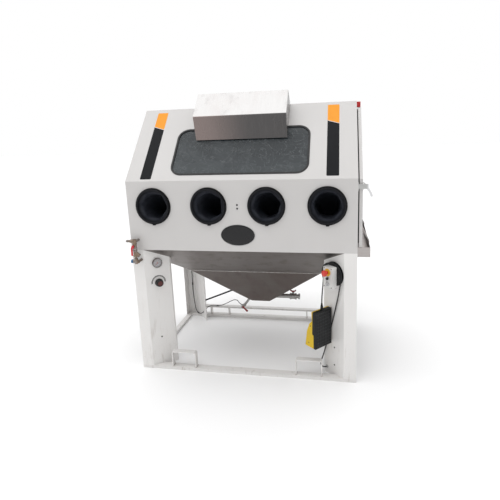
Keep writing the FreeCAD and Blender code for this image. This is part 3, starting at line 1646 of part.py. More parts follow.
barb = turned(
    sample_face,
    [
        (zero, zero), (zero + 7.5, zero), (zero + 7.5, zero + 15), (zero + 4.5, zero + 15),
        (zero + 4.5, barb_length), (zero, barb_length),
    ],
    at=(0, 4, sample_middle),
    spin="up",
)
sample_stem_hole = rod(
    sample_face, (zero + 9, 0, sample_middle), valve_shaft_radius + 0.05, 20, "right"
)
node(
    "sample_valve",
    cut(fuse(sample_pipe, sample_body_blank, sample_bonnet, barb), sample_stem_hole),
)
sample_stem = rod(sample_face, (zero + 9.3, 0, sample_middle), valve_shaft_radius, 12, "right")
sample_lever_frame = Frame(
    sample_face.point((18.3, 0, sample_middle)), (math.sqrt(0.5), 0, -math.sqrt(0.5)),
    (math.sqrt(0.5), 0, math.sqrt(0.5)), (0, -1, 0),
)
sample_blade = pad(
    sample_lever_frame,
    [(-8, -6), (10, -6), (52, -8), (54, 0), (52, 8), (10, 6), (-8, 6)],
    3,
)
node("sample_lever", fuse(sample_stem, sample_blade))

# Overflow pipe from the rear left leg up to the hopper's left face.
overflow_radius = size("overflow_radius", 7)
overflow_low = size("overflow_low", 193)
overflow_slope = size("overflow_slope", 22.4)
overflow_y = back - leg_run_y - leg_return / 2
overflow_frame = Frame(
    (leg_flange + leg_run_x - half_width, overflow_y, overflow_low), (0, 1, 0),
    (-sine(overflow_slope), 0, cosine(overflow_slope)),
    (cosine(overflow_slope), 0, sine(overflow_slope)),
)
leg_edge = leg_flange + leg_run_x - half_width
leg_side = box(world, (-half_width, front, zero), (leg_edge, back, front_bottom))
overflow_pipe = cut(
    rod(overflow_frame, (0, 0, -10), overflow_radius, 650), hopper_form(zero, zero), leg_side
)
doc.recompute()
node(
    "overflow_pipe",
    shaped(min(overflow_pipe.Shape.Solids, key=lambda solid: solid.CenterOfMass.x)),
)

# The thin air line: from the sample valve, along the crossbar, and up the rear left leg.
air_radius = size("air_radius", 3)
barb_end = sample_face.vector((0, 4 + barb_length, sample_middle))
barb_way = (barb_end - sample_face.vector((0, 4, sample_middle))).normalize()
bulkhead_height = size("bulkhead_height", 520)
air_x = leg_flange / 2 + 10 - half_width
air_points = [barb_end, barb_end + barb_way * 22]
for x, inwards, z in (
    (-212, 249, 256), (-246, 227, 250), (-285, 197, 224), (-326, 159, 190), (-368, 119, 158),
    (-410, 81, 128), (-452, 57, 110), (-494, 49, 109), (-532, 47, 104), (-560, 53, 84),
    (-578, 71, 62), (-596, 87, 46), (-622, 81, 37), (-650, 61, 40), (-674, 37, 60), (-688, 19, 96),
    (-696, 14, 146), (-700, 13, 196), (-701, 13, 246), (-700.5, 13.5, 296),
):
    air_points.append(Vector(x, float(back) - inwards, z))
rear_flange_y = float(back - leg_wall)
air_points.append(Vector(float(air_x), rear_flange_y - 9, 344))
air_points.append(Vector(float(air_x) + 0.5, rear_flange_y - 10, 394))
air_points.append(Vector(float(air_x), rear_flange_y - 13, 440))
air_points.append(Vector(float(air_x), rear_flange_y - 16, 480))
air_points.append(Vector(float(air_x), rear_flange_y - 16, float(bulkhead_height) - 10))
node("air_line", shaped(tube_along(air_points, air_radius, "air line")))
bulkhead = fuse(
    rod(world, (air_x, back - leg_wall - 16, bulkhead_height - 10), 6, 16),
    rod(front_face, (air_x, bulkhead_height, front - back + leg_wall), 5, 16),
)
clip_wall = size("clip_wall", 2)


def clip(place, gap):
    """A small saddle over the line, with its foot on the surface behind it."""
    foot = box(place, (-10, -4, zero), (10, 4, clip_wall))
    half = air_radius + 1 + clip_wall
    band = box(place, (-half, -4, zero), (half, 4, gap + air_radius + half))
    half_room = air_radius + 1
    room = box(place, (-half_room, -5, zero), (half_room, 5, gap + air_radius + half_room))
    return cut(fuse(foot, band), room)


rear_flange = Frame((0, back - leg_wall, 0), (1, 0, 0), (0, 0, 1), (0, -1, 0))
leg_clip = clip(rear_flange.at(air_x, 370, 0), 6)
line_ring = turned(
    rear_leg_face,
    [
        (line_hole_radius - 3, -leg_wall), (line_hole_radius, -leg_wall), (line_hole_radius, zero),
        (line_hole_radius + 3, zero), (line_hole_radius + 3, zero + 2), (line_hole_radius - 3, zero + 2),
    ],
    at=(line_hole_along, line_hole_height, 0),
)
node("line_fittings", group(bulkhead, leg_clip, grommet, line_ring))

doc.recompute()
doc.recompute()
os.makedirs("parts", exist_ok=True)
faults = [item.Label for item in doc.Objects if {"Invalid", "Error"} & set(item.State)]
if faults:
    raise RuntimeError("these did not build: " + ", ".join(faults))
for piece in NODES:
    if piece.Shape.isNull() or not piece.Shape.isValid() or not piece.Shape.Solids:
        raise RuntimeError(piece.Label + " has no sound shape")
for piece in NODES:
    piece.Shape.exportStep("parts/%s.step" % piece.Label)
print(len(NODES), "parts written")
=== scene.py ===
import math

import bmesh
import bpy
from mathutils import Matrix, Vector, noise


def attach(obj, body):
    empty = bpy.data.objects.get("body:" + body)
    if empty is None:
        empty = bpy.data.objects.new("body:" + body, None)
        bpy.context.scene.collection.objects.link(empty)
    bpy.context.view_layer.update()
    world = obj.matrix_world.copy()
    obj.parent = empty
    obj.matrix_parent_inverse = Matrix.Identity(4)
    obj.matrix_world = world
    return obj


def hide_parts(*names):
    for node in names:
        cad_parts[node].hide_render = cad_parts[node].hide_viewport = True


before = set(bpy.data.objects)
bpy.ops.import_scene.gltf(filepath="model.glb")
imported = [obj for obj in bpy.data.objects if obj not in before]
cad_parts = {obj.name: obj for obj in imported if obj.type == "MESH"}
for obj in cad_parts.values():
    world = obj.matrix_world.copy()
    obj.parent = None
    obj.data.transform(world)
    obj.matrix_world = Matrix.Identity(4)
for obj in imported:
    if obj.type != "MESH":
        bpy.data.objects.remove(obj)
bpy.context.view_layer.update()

# Studio: a pale floor under a white sky that is brightest overhead, with one broad soft light from
# above and a weak one on each of the four sides. The camera stands to the right, at window height.
camera_right = Vector((0.984338, 0.173446, -0.031550))
camera_up = Vector((-0.003534, 0.198339, 0.980127))
camera_back = Vector((0.176256, -0.964665, 0.195846))
camera_data = bpy.data.cameras.new("studio camera")
camera_data.sensor_width = 36
camera_data.lens = 28.705
camera_data.shift_x = -0.0369
camera_data.shift_y = -0.0615
camera = bpy.data.objects.new("studio camera", camera_data)
bpy.context.scene.collection.objects.link(camera)
camera.matrix_world = (
    Matrix.Translation((0.642221, -2.441986, 1.586723))
    @ Matrix((camera_right, camera_up, camera_back)).transposed().to_4x4()
)
bpy.context.scene.camera = camera

sky = bpy.data.worlds.new("white sky")
sky.use_nodes = True
wide_sky = sky.node_tree.nodes["Background"]
wide_sky.inputs["Color"].default_value = (1.0, 1.0, 1.0, 1.0)
towards = sky.node_tree.nodes.new("ShaderNodeTexCoord")
split = sky.node_tree.nodes.new("ShaderNodeSeparateXYZ")
rise = sky.node_tree.nodes.new("ShaderNodeMapRange")
rise.inputs["From Min"].default_value = 0.0
rise.inputs["From Max"].default_value = 0.75
rise.inputs["To Min"].default_value = 0.12
rise.inputs["To Max"].default_value = 1.12
sky.node_tree.links.new(towards.outputs["Generated"], split.inputs[0])
sky.node_tree.links.new(split.outputs["Z"], rise.inputs["Value"])
sky.node_tree.links.new(rise.outputs["Result"], wide_sky.inputs["Strength"])
seen_sky = sky.node_tree.nodes.new("ShaderNodeBackground")
seen_sky.inputs["Color"].default_value = (1.0, 1.0, 1.0, 1.0)
seen_sky.inputs["Strength"].default_value = 1.0
ray = sky.node_tree.nodes.new("ShaderNodeLightPath")
either = sky.node_tree.nodes.new("ShaderNodeMixShader")
sky.node_tree.links.new(ray.outputs["Is Camera Ray"], either.inputs[0])
sky.node_tree.links.new(wide_sky.outputs[0], either.inputs[1])
sky.node_tree.links.new(seen_sky.outputs[0], either.inputs[2])
sky.node_tree.links.new(either.outputs[0], sky.node_tree.nodes["World Output"].inputs["Surface"])
bpy.context.scene.world = sky
bpy.context.scene.view_settings.view_transform = "Standard"
sun = bpy.data.lights.new("broad soft light", "SUN")
sun.energy = 0.9
sun.angle = math.radians(55)
overhead = bpy.data.objects.new("broad soft light", sun)
bpy.context.scene.collection.objects.link(overhead)
overhead.rotation_euler = Vector((0.20, 0.16, -1.0)).to_track_quat("-Z", "Y").to_euler()
for name, place, width, power in (
    ("front light", (0.8, -4.4, 2.6), 3.0, 4),
    ("left light", (-4.2, -1.4, 2.2), 2.4, 14),
    ("right light", (4.4, -1.2, 2.4), 2.4, 5),
    ("back light", (0.5, 4.6, 2.8), 2.4, 14),
):
    lamp = bpy.data.lights.new(name, "AREA")
    lamp.size = width
    lamp.energy = power
    light = bpy.data.objects.new(name, lamp)
    bpy.context.scene.collection.objects.link(light)
    light.location = place
    light.rotation_euler = (Vector((0, 0.3, 0.95)) - Vector(place)).to_track_quat("-Z", "Y").to_euler()


class Wire:
    """A number, colour or vector on its way through a finish or a recipe."""

    def __init__(self, graph, socket):
        self.graph = graph
        self.socket = socket

    def maths(self, operation, first, second):
        return self.graph.node("ShaderNodeMath", {"operation": operation}, {0: first, 1: second})

    def __add__(self, other):
        return self.maths("ADD", self, other)

    def __sub__(self, other):
        return self.maths("SUBTRACT", self, other)

    def __rsub__(self, other):
        return self.maths("SUBTRACT", other, self)

    def __mul__(self, other):
        return self.maths("MULTIPLY", self, other)

    def __truediv__(self, other):
        return self.maths("DIVIDE", self, other)

    def __rtruediv__(self, other):
        return self.maths("DIVIDE", other, self)

    def __pow__(self, other):
        return self.maths("POWER", self, other)

    __radd__ = __add__
    __rmul__ = __mul__

    def above(self, limit, spread):
        """0 below the limit, rising smoothly to 1 over the spread."""
        return self.graph.node(
            "ShaderNodeMapRange",
            {"interpolation_type": "SMOOTHSTEP"},
            {"Value": self, "From Min": limit, "From Max": limit + spread},
        )


class Graph:
    """Node making that finishes and recipes share."""

    def __init__(self, tree):
        self.tree = tree

    def node(self, kind, settings=None, sockets=None, output=0):
        made = self.tree.nodes.new(kind)
        for name, value in (settings or {}).items():
            setattr(made, name, value)
        for name, value in (sockets or {}).items():
            socket = made.inputs[name]
            if isinstance(value, Wire):
                self.tree.links.new(value.socket, socket)
            elif socket.type == "RGBA" and len(value) == 3:
                socket.default_value = (*value, 1.0)
            else:
                socket.default_value = value
        return Wire(self, made.outputs[output])


class Finish(Graph):
    """A material, worked out on Object coordinates in metres."""

    def __init__(self, name):
        self.material = bpy.data.materials.new(name)
        self.material.use_nodes = True
        super().__init__(self.material.node_tree)
        self.shader = self.tree.nodes["Principled BSDF"]
        self.place = self.node("ShaderNodeTexCoord", output="Object")

    def stretched(self, x, y, z, turn=(0.0, 0.0, 0.0)):
        return self.node(
            "ShaderNodeMapping", {}, {"Vector": self.place, "Scale": (x, y, z), "Rotation": turn}
        )

    def grain(self, scale, detail=2.0, rough=0.5, over=None, swirl=0.0):
        return self.node(
            "ShaderNodeTexNoise", {},
            {"Vector": over or self.place, "Scale": scale, "Detail": detail, "Roughness": rough,
             "Distortion": swirl},
        )

    def axis(self, letter):
        return self.node("ShaderNodeSeparateXYZ", {}, {"Vector": self.place}, letter)

    def blend(self, first, second, factor):
        return self.node("ShaderNodeMix", {"data_type": "RGBA"}, {0: factor, 6: first, 7: second}, 2)

    def done(self, colour, rough, height=None, depth=0.0002, strength=0.5, **uniform):
        links = {"Base Color": colour, "Roughness": rough}
        if height is not None:
            links["Normal"] = self.node(
                "ShaderNodeBump", {}, {"Height": height, "Distance": depth, "Strength": strength}
            )
        for name, value in uniform.items():
            links[name.replace("_", " ")] = value
        for name, value in links.items():
            socket = self.shader.inputs[name]
            if isinstance(value, Wire):
                self.tree.links.new(value.socket, socket)
            elif socket.type == "RGBA":
                socket.default_value = (*value, 1.0)
            else:
                socket.default_value = value
        return self


def studio_paper():
    paper = Finish("studio paper")
    cloud = paper.grain(0.7, 3.0)
    return paper.done(paper.blend((0.93, 0.93, 0.93), (0.90, 0.90, 0.905), cloud), 0.7)


def piece(name, points, faces, finish, crease=35):
    """A mesh object at the origin: smooth where faces bend little, sharp where they bend more."""
    mesh = bpy.data.meshes.new(name)
    mesh.from_pydata([tuple(point) for point in points], [], faces)
    form = bmesh.new()
    form.from_mesh(mesh)
    bmesh.ops.remove_doubles(form, verts=form.verts, dist=1e-6)
    bmesh.ops.recalc_face_normals(form, faces=form.faces)
    for face in form.faces:
        face.smooth = True
    for edge in form.edges:
        edge.smooth = len(edge.link_faces) == 2 and edge.calc_face_angle() < math.radians(crease)
    form.to_mesh(mesh)
    form.free()
    mesh.materials.append(finish.material)
    made = bpy.data.objects.new(name, mesh)
    bpy.context.scene.collection.objects.link(made)
    return made


half_floor = 60.0
paper = piece(
    "studio_floor",
    [(-half_floor, -half_floor, 0), (half_floor, -half_floor, 0), (half_floor, half_floor, 0),
     (-half_floor, half_floor, 0)],
    [(0, 1, 2, 3)],
    studio_paper(),
)

# Cabinet box: folded steel sheet, welded at the edges and powder coated white. The back and the
# hidden side are held by rows of pan-head screws along their edges.
MM = 0.001
front = -26.0
back = 899.0
half_width = 750.0
slope_foot_height = 1345.0


class Face:
    """A flat place on the machine: right and up along it, out away from it, in millimetres."""

    def __init__(self, origin, right, up):
        self.origin = Vector(origin)
        self.right = Vector(right).normalized()
        self.up = Vector(up).normalized()
        self.out = self.right.cross(self.up)

    def at(self, right, up, out=0.0):
        spot = self.origin + self.right * right + self.up * up + self.out * out
        return spot * MM

    def moved(self, right, up, out=0.0):
        return Face(self.at(right, up, out) / MM, self.right, self.up)


front_face = Face((0, front, 0), (1, 0, 0), (0, 0, 1))
slope_angle = math.radians(50)
slope_face = Face((0, front, slope_foot_height), (1, 0, 0), (0, math.cos(slope_angle), math.sin(slope_angle)))
back_face = Face((0, back, 0), (-1, 0, 0), (0, 0, 1))
left_face = Face((-half_width, 0, 0), (0, -1, 0), (0, 0, 1))


def powder_coat(name, tone, grime, wear_top):
    """Baked powder: a fine orange peel, faint clouds, and scuffs that thicken towards the floor."""
    coat = Finish(name)
    cloud = coat.grain(1.9, 4.0, 0.55)
    peel = coat.grain(620, 2.0, 0.6)
    smear = coat.grain(26, 5.0, 0.65, coat.stretched(1, 1, 0.18))
    fleck = coat.grain(210, 3.0, 0.6)
    low = 1 - coat.axis("Z").above(0.0, wear_top)
    scuff = smear.above(0.56, 0.16) * low
    chip = fleck.above(0.68, 0.03) * low
    body = coat.blend(tone, [value * 0.93 for value in tone], cloud)
    body = coat.blend(body, grime, scuff * 0.55)
    body = coat.blend(body, (0.24, 0.21, 0.19), chip * 0.6)
    rough = 0.36 + peel * 0.08 + scuff * 0.22
    return coat.done(body, rough, peel - chip * 0.6, 0.00025, 0.35, Coat_Weight=0.12)


def dress(finish, *names):
    for name in names:
        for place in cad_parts[name].material_slots:
            place.material = finish.material


cabinet_coat = powder_coat("white powder coat", (0.62, 0.605, 0.595), (0.43, 0.40, 0.37), 1.15)
dress(cabinet_coat, "front_panel", "window_panel", "left_side_panel", "right_side_frame", "rear_cover")


class Recipe(Graph):
    """A Geometry Nodes tree that sets a repeated form on a carrier's points."""

    def __init__(self, name, **sizes):
        super().__init__(bpy.data.node_groups.new(name, "GeometryNodeTree"))
        shape = self.tree.interface
        shape.new_socket("Carrier", in_out="INPUT", socket_type="NodeSocketGeometry")
        for label, start in sizes.items():
            kind = "NodeSocketInt" if isinstance(start, int) else "NodeSocketFloat"
            shape.new_socket(label, in_out="INPUT", socket_type=kind).default_value = start
        shape.new_socket("Finish", in_out="INPUT", socket_type="NodeSocketMaterial")
        shape.new_socket("Form", in_out="OUTPUT", socket_type="NodeSocketGeometry")
        self.given = self.tree.nodes.new("NodeGroupInput")

    def size(self, label):
        return Wire(self, self.given.outputs[label])

    def maths_above(self, value, limit):
        return self.node("FunctionNodeCompare", {"operation": "GREATER_THAN"}, {0: value, 1: limit})

    def own(self, label):
        """An attribute of the carrier's points."""
        return self.node("GeometryNodeInputNamedAttribute", {"data_type": "FLOAT_VECTOR"}, {"Name": label})

    def turned_out(self):
        """Each form's Z along the point's facing, and its X as near as can be to the point's run."""
        facing = self.node(
            "FunctionNodeAlignRotationToVector", {"axis": "Z"}, {"Vector": self.own("facing")}
        )
        return self.node(
            "FunctionNodeAlignRotationToVector", {"axis": "X", "pivot_axis": "Z"},
            {"Rotation": facing, "Vector": self.own("run")},
        )

    def end(self, form):
        real = self.node("GeometryNodeRealizeInstances", {}, {"Geometry": form})
        painted = self.node(
            "GeometryNodeSetMaterial", {}, {"Geometry": real, "Material": self.size("Finish")}
        )
        last = self.tree.nodes.new("NodeGroupOutput")
        self.tree.links.new(painted.socket, last.inputs["Form"])

    def make(self, name, carrier, finish, **sizes):
        """Run the tree on the carrier and keep the result as a plain mesh."""
        made = bpy.data.objects.new(name, carrier)
        bpy.context.scene.collection.objects.link(made)
        modifier = made.modifiers.new("recipe", "NODES")
        modifier.node_group = self.tree
        wanted = dict(sizes, Finish=finish.material)
        for socket in self.tree.interface.items_tree:
            if socket.in_out == "INPUT" and socket.name in wanted:
                modifier[socket.identifier] = wanted[socket.name]
        seen = made.evaluated_get(bpy.context.evaluated_depsgraph_get())
        mesh = bpy.data.meshes.new_from_object(seen)
        made.modifiers.remove(modifier)
        made.data = mesh
        return made


def carrier(name, spots, edges=()):
    """Points with the way each form faces and the way it runs."""
    mesh = bpy.data.meshes.new(name)
    mesh.from_pydata([tuple(spot[0]) for spot in spots], list(edges), [])
    for label, column in (("facing", 1), ("run", 2)):
        layer = mesh.attributes.new(label, "FLOAT_VECTOR", "POINT")
        for number, spot in enumerate(spots):
            layer.data[number].vector = spot[column]
    return mesh


def screw_recipe():
    """A domed head with a round or hexagonal outline and a sunk drive."""
    recipe = Recipe("screw heads", Sides=20, Radius=0.004, Height=0.002, Drive=0.45)
    height = recipe.size("Height")
    radius = recipe.size("Radius")
    head = recipe.node(
        "GeometryNodeMeshCone", {"fill_type": "NGON"},
        {"Vertices": recipe.size("Sides"), "Side Segments": 1, "Radius Top": radius * 0.84,
         "Radius Bottom": radius, "Depth": height},
    )
    normal = recipe.node("GeometryNodeInputNormal")
    upward = recipe.node("ShaderNodeSeparateXYZ", {}, {"Vector": normal}, "Z")
    top = recipe.maths_above(upward, 0.9)
    crown = recipe.node(
        "GeometryNodeExtrudeMesh", {"mode": "FACES"},
        {"Mesh": head, "Selection": top, "Offset Scale": height * 0.14},
    )
    crown = recipe.node("GeometryNodeScaleElements", {}, {"Geometry": crown, "Selection": top, "Scale": 0.62})
    rim = recipe.node(
        "GeometryNodeExtrudeMesh", {"mode": "FACES"}, {"Mesh": crown, "Selection": top, "Offset Scale": 0.0}
    )
    rim = recipe.node(
        "GeometryNodeScaleElements", {}, {"Geometry": rim, "Selection": top, "Scale": recipe.size("Drive")}
    )
    sunk = recipe.node(
        "GeometryNodeExtrudeMesh", {"mode": "FACES"},
        {"Mesh": rim, "Selection": top, "Offset Scale": height * -0.5},
    )
    spots = recipe.node(
        "GeometryNodeInstanceOnPoints", {},
        {"Points": recipe.size("Carrier"), "Instance": sunk, "Rotation": recipe.turned_out()},
    )
    recipe.end(spots)
    return recipe


screw_heads = screw_recipe()


def metal(name, tone, rough, scratch=(60, 60, 60), smudge=0.08, dull=None, turn=(0, 0, 0)):
    """Bare or plated metal: fine scratches along its grain, smudges, and a duller bloom in places."""
    bare = Finish(name)
    line = bare.grain(1.0, 3.0, 0.6, bare.stretched(*scratch, turn))
    cloud = bare.grain(9.0, 4.0, 0.6)
    bloom = bare.grain(38.0, 4.0, 0.65).above(0.52, 0.2)
    colour = bare.blend(tone, [value * 0.8 for value in tone], cloud)
    colour = bare.blend(colour, dull or [value * 0.7 for value in tone], bloom * 0.35)
    return bare.done(
        colour, rough + line * 0.08 + bloom * smudge, line, 0.00008, 0.3, Metallic=1.0
    )


zinc = metal("zinc plated steel", (0.56, 0.56, 0.55), 0.30, (180, 180, 180), 0.12, (0.42, 0.41, 0.37))
steel_black = metal("blackened steel", (0.05, 0.05, 0.052), 0.38, (160, 160, 160))


def row(face, start, end, count, run=None):
    """Evenly spaced spots from one corner to another on a face."""
    spots = []
    for number in range(count):
        share = number / max(count - 1, 1)
        right = start[0] + (end[0] - start[0]) * share
        up = start[1] + (end[1] - start[1]) * share
        out = start[2] if len(start) > 2 else 0.0
        spots.append((face.at(right, up, out), face.out, run or face.right))
    return spots


panel_screws = row(back_face, (-720, 905), (720, 905), 11)
panel_screws += row(back_face, (-720, 1798), (720, 1798), 11)
panel_screws += row(back_face, (-720, 1010), (-720, 1690), 6)
panel_screws += row(back_face, (720, 1010), (720, 1690), 6)
panel_screws += row(left_face, (8, 905), (-875, 905), 8)
panel_screws += row(left_face, (-410, 1798), (-875, 1798), 5)
panel_screws += row(left_face, (8, 1010), (8, 1320), 3)
panel_screws += row(left_face, (-875, 1010), (-875, 1690), 6)
panel_screws += row(left_face, (-40, 1401), (-345, 1765), 5)
panel_heads = screw_heads.make(
    "panel_screws", carrier("panel screw places", panel_screws), zinc, Radius=0.0052, Height=0.0026
)
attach(panel_heads, "cabinet")

# Hopper: satin stainless sheet, bent into a funnel and welded inside the box's lower edge. The long
# folds carry a ground weld bead, and water has left soft runs down the faces.


def stainless(name, tone, warm, grain, turn=(0, 0, 0), polish=0.27, paint_reflection=None):
    """Satin stainless: a one-way grain, warm stains, and runs that dull the shine."""
    sheet = Finish(name)
    line = sheet.grain(1.0, 4.0, 0.65, sheet.stretched(*grain, turn))
    cloud = sheet.grain(2.4, 4.0, 0.55, swirl=0.6)
    stain = sheet.grain(13, 5.0, 0.6, sheet.stretched(1.0, 1.0, 0.35)).above(0.5, 0.25)
    colour = sheet.blend(tone, warm, cloud.above(0.42, 0.3))
    colour = sheet.blend(colour, [value * 0.72 for value in tone], line.above(0.35, 0.6) * 0.45)
    colour = sheet.blend(colour, [value * 0.82 for value in warm], stain * 0.4)
    rough = polish + line * 0.16 + stain * 0.1
    # An optional function paints a reflection into the colour, darkening the sheet by place.
    if paint_reflection:
        colour = paint_reflection(sheet, colour, line)
    return sheet.done(colour, rough, line, 0.00006, 0.35, Metallic=1.0)


hopper_steel = stainless("satin hopper steel", (0.185, 0.165, 0.155), (0.155, 0.128, 0.118), (5, 5, 260))
dress(hopper_steel, "hopper")


def bead_recipe():
    """Overlapping ripples of weld metal along an edge."""
    recipe = Recipe("weld bead", Pitch=0.003, Radius=0.0028)
    path = recipe.node("GeometryNodeMeshToCurve", {}, {"Mesh": recipe.size("Carrier")})
    path = recipe.node(
        "GeometryNodeResampleCurve", {"mode": "LENGTH"}, {"Curve": path, "Length": recipe.size("Pitch")}
    )
    ripple = recipe.node(
        "GeometryNodeMeshIcoSphere", {}, {"Radius": recipe.size("Radius"), "Subdivisions": 2}
    )
    smooth = recipe.node("GeometryNodeSetShadeSmooth", {}, {"Geometry": ripple})
    swell = recipe.node(
        "FunctionNodeRandomValue", {"data_type": "FLOAT"}, {2: 0.82, 3: 1.12, "Seed": 7}, 1
    )
    along = recipe.node(
        "FunctionNodeAlignRotationToVector", {"axis": "X"},
        {"Vector": recipe.node("GeometryNodeInputTangent")},
    )
    spots = recipe.node(
        "GeometryNodeInstanceOnPoints", {},
        {"Points": path, "Instance": smooth, "Rotation": along, "Scale": swell},
    )
    recipe.end(spots)
    return recipe


weld_bead = bead_recipe()


def edge_path(name, runs):
    """A carrier made of open polylines, for a bead to follow."""
    spots = []
    edges = []
    for run in runs:
        for number, point in enumerate(run):
            if number:
                edges.append((len(spots) - 1, len(spots)))
            spots.append((Vector(point) * MM, (0, 0, 1), (1, 0, 0)))
    return carrier(name, spots, edges)


fold_half = 502.0
fold_height = 604.0
fold_front = front + 409
fold_rear = front + 855.7
ground_bead = metal("ground weld", (0.72, 0.70, 0.68), 0.22, (240, 240, 240), 0.05)
fold_bead = weld_bead.make(
    "hopper_weld",
    edge_path("hopper weld path", [
        [(-fold_half, fold_front, fold_height), (fold_half, fold_front, fold_height)],
        [(fold_half, fold_front, fold_height), (fold_half, fold_rear, fold_height)],
        [(fold_half, fold_rear, fold_height), (-fold_half, fold_rear, fold_height)],
        [(-fold_half, fold_rear, fold_height), (-fold_half, fold_front, fold_height)],
    ]),
    ground_bead, Pitch=0.0038, Radius=0.0026,
)
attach(fold_bead, "cabinet")

# Legs and floor frame: folded sheet legs on flat bar rails, welded and powder coated. The rails,
# fork straps and crossbar are scuffed by feet and forks, and the welds at the straps show rust.
stand_coat = powder_coat("white stand coat", (0.82, 0.805, 0.79), (0.50, 0.46, 0.42), 0.75)
dress(stand_coat, "front_left_leg", "front_right_leg", "rear_legs")
rail_coat = powder_coat("scuffed rail coat", (0.76, 0.745, 0.73), (0.42, 0.38, 0.34), 0.2)
dress(rail_coat, "floor_rails", "fork_straps", "rear_crossbar")
rusty_weld = metal("weld with rust", (0.36, 0.31, 0.27), 0.5, (300, 300, 300), 0.2, (0.30, 0.17, 0.09))
rail_top = 22.0
strap_runs = []
for side in (-1, 1):
    for x in (352.0, 358.0, 524.0, 530.0):
        strap_runs.append([(side * x, -20, rail_top), (side * x, 20, rail_top)])
    for x in (352.0, 360.0, 522.0, 530.0):
        strap_runs.append([(side * x, 857, rail_top), (side * x, 895, rail_top)])
strap_bead = weld_bead.make(
    "strap_welds", edge_path("strap weld path", strap_runs), rusty_weld, Pitch=0.0026, Radius=0.0022
)
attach(strap_bead, "cabinet")
leg_cos = 130 / math.hypot(130, 120)
leg_sin = 120 / math.hypot(130, 120)
left_leg = Face((-670, front, 0), (leg_cos, leg_sin, 0), (0, 0, 1))
right_leg = Face((670, front, 0), (leg_cos, -leg_sin, 0), (0, 0, 1))
leg_screws = row(left_leg, (76, 222), (76, 222), 1)
leg_screws += row(right_leg, (-82, 214), (-82, 214), 1)
leg_screws += row(right_leg, (-82, 87), (-82, 87), 1)
leg_heads = screw_heads.make(
    "leg_screws", carrier("leg screw places", leg_screws), steel_black, Radius=0.0058, Height=0.003
)
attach(leg_heads, "cabinet")

# Window: toughened glass in a black rubber strip that grips the glass and the sheet, with a glossy
# filler bead pressed into its groove. Spray has dried on the inside of the glass.


def rubber(name, tone, rough, dust=0.25, pore=900, **uniform):
    """Moulded rubber: fine pores, pale dust in patches, and a few shiny rubbed spots."""
    soft = Finish(name)
    pores = soft.grain(pore, 2.0, 0.55)
    patch = soft.grain(14, 4.0, 0.6)
    rubbed = soft.grain(55, 3.0, 0.55).above(0.55, 0.2)
    colour = soft.blend(tone, (0.16, 0.155, 0.15), patch.above(0.5, 0.3) * dust)
    level = rough + pores * 0.12 - rubbed * 0.1
    return soft.done(colour, level, pores, 0.0002, 0.4, Specular_IOR_Level=0.25, **uniform)


def rounded(corners, radius, steps=10):
    """A closed outline, anticlockwise, with its corners rounded: each point with its way inwards."""
    found = []
    count = len(corners)
    for number in range(count):
        before = Vector(corners[number - 1])
        corner = Vector(corners[number])
        after = Vector(corners[(number + 1) % count])
        come = (before - corner).normalized()
        leave = (after - corner).normalized()
        half = come.angle(leave) / 2
        middle = corner + (come + leave).normalized() * (radius / math.sin(half))
        first = corner + come * (radius / math.tan(half)) - middle
        last = corner + leave * (radius / math.tan(half)) - middle
        sweep = first.angle_signed(last)
        for step in range(steps + 1):
            turn = -sweep * step / steps
            arm = Vector((
                first.x * math.cos(turn) - first.y * math.sin(turn),
                first.x * math.sin(turn) + first.y * math.cos(turn),
            ))
            found.append((middle + arm, -arm.normalized()))
    return found


def strip(name, face, outline, sections, finish):
    """Closed strips of constant section round an outline; a section is inward and outward numbers."""
    points = []
    faces = []
    for section in sections:
        base = len(points)
        width = len(section)
        for point, inward in outline:
            for w, n in section:
                spot = point + inward * w
                points.append(face.at(spot.x, spot.y, n))
        count = len(outline)
        for ring in range(count):
            following = (ring + 1) % count
            for side in range(width):
                beside = (side + 1) % width
                faces.append((
                    base + ring * width + side, base + following * width + side,
                    base + following * width + beside, base + ring * width + beside,
                ))
    return piece(name, points, faces, finish, 50)


window_half = 455.0
window_low = 42.0
window_high = 428.0
window_outline = rounded(
    [(-window_half, window_low), (window_half, window_low), (window_half, window_high),
     (-window_half, window_high)], 80, 16,
)
glazing_rubber = rubber("glazing rubber", (0.012, 0.012, 0.013), 0.33, 0.1, Coat_Weight=0.35)
outer_section = [
    (0.2, 0.1), (0.5, 2.2), (1.6, 3.6), (3.2, 4.0), (5.0, 3.6), (5.8, 2.6), (7.0, 2.6), (7.8, 3.6),
    (9.4, 4.0), (11.6, 3.8), (13.2, 2.6), (13.9, 0.6), (13.9, -2.9), (9.3, -2.9), (9.2, 0.1),
]
inner_section = [
    (0.6, -3.2), (8.9, -3.2), (8.9, -9.2), (13.9, -9.2), (13.6, -11.6), (11.0, -12.8), (3.0, -12.8),
    (1.0, -11.0),
]
window_strip = strip(
    "window_strip", slope_face, window_outline, [outer_section, inner_section], glazing_rubber
)
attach(window_strip, "cabinet")
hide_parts("window_gasket")
glass = Finish("spotted window glass")
across = glass.stretched(1.0, 1.0, 1.0)
ribbon = glass.grain(8.5, 5.0, 0.62, across, 1.9)
curl = 1 - ((ribbon - 0.5) * (ribbon - 0.5) * 9000).above(0.0, 1.0)
haze = glass.grain(3.0, 4.0, 0.6, across, 0.8)
drop = glass.grain(240, 2.0, 0.5).above(0.66, 0.06) * haze.above(0.5, 0.12)
low_band = 1 - glass.axis("Z").above(1.40, 0.10)
veil = haze.above(0.42, 0.3) * 0.35 + low_band * 0.3
tint = glass.blend((0.020, 0.026, 0.030), (0.070, 0.082, 0.088), veil)
tint = glass.blend(tint, (0.42, 0.45, 0.46), curl * 0.16 + drop * 0.25)
glass.done(tint, 0.22 + veil * 0.2 + drop * 0.2, Coat_Weight=0.05, Specular_IOR_Level=0.25, Alpha=0.95)
dress(glass, "window_glass")

# Wiper: a small gearmotor behind the top of the glass swings a plated arm with a rubber blade
# across it. Its two screws hold the motor to the sheet.


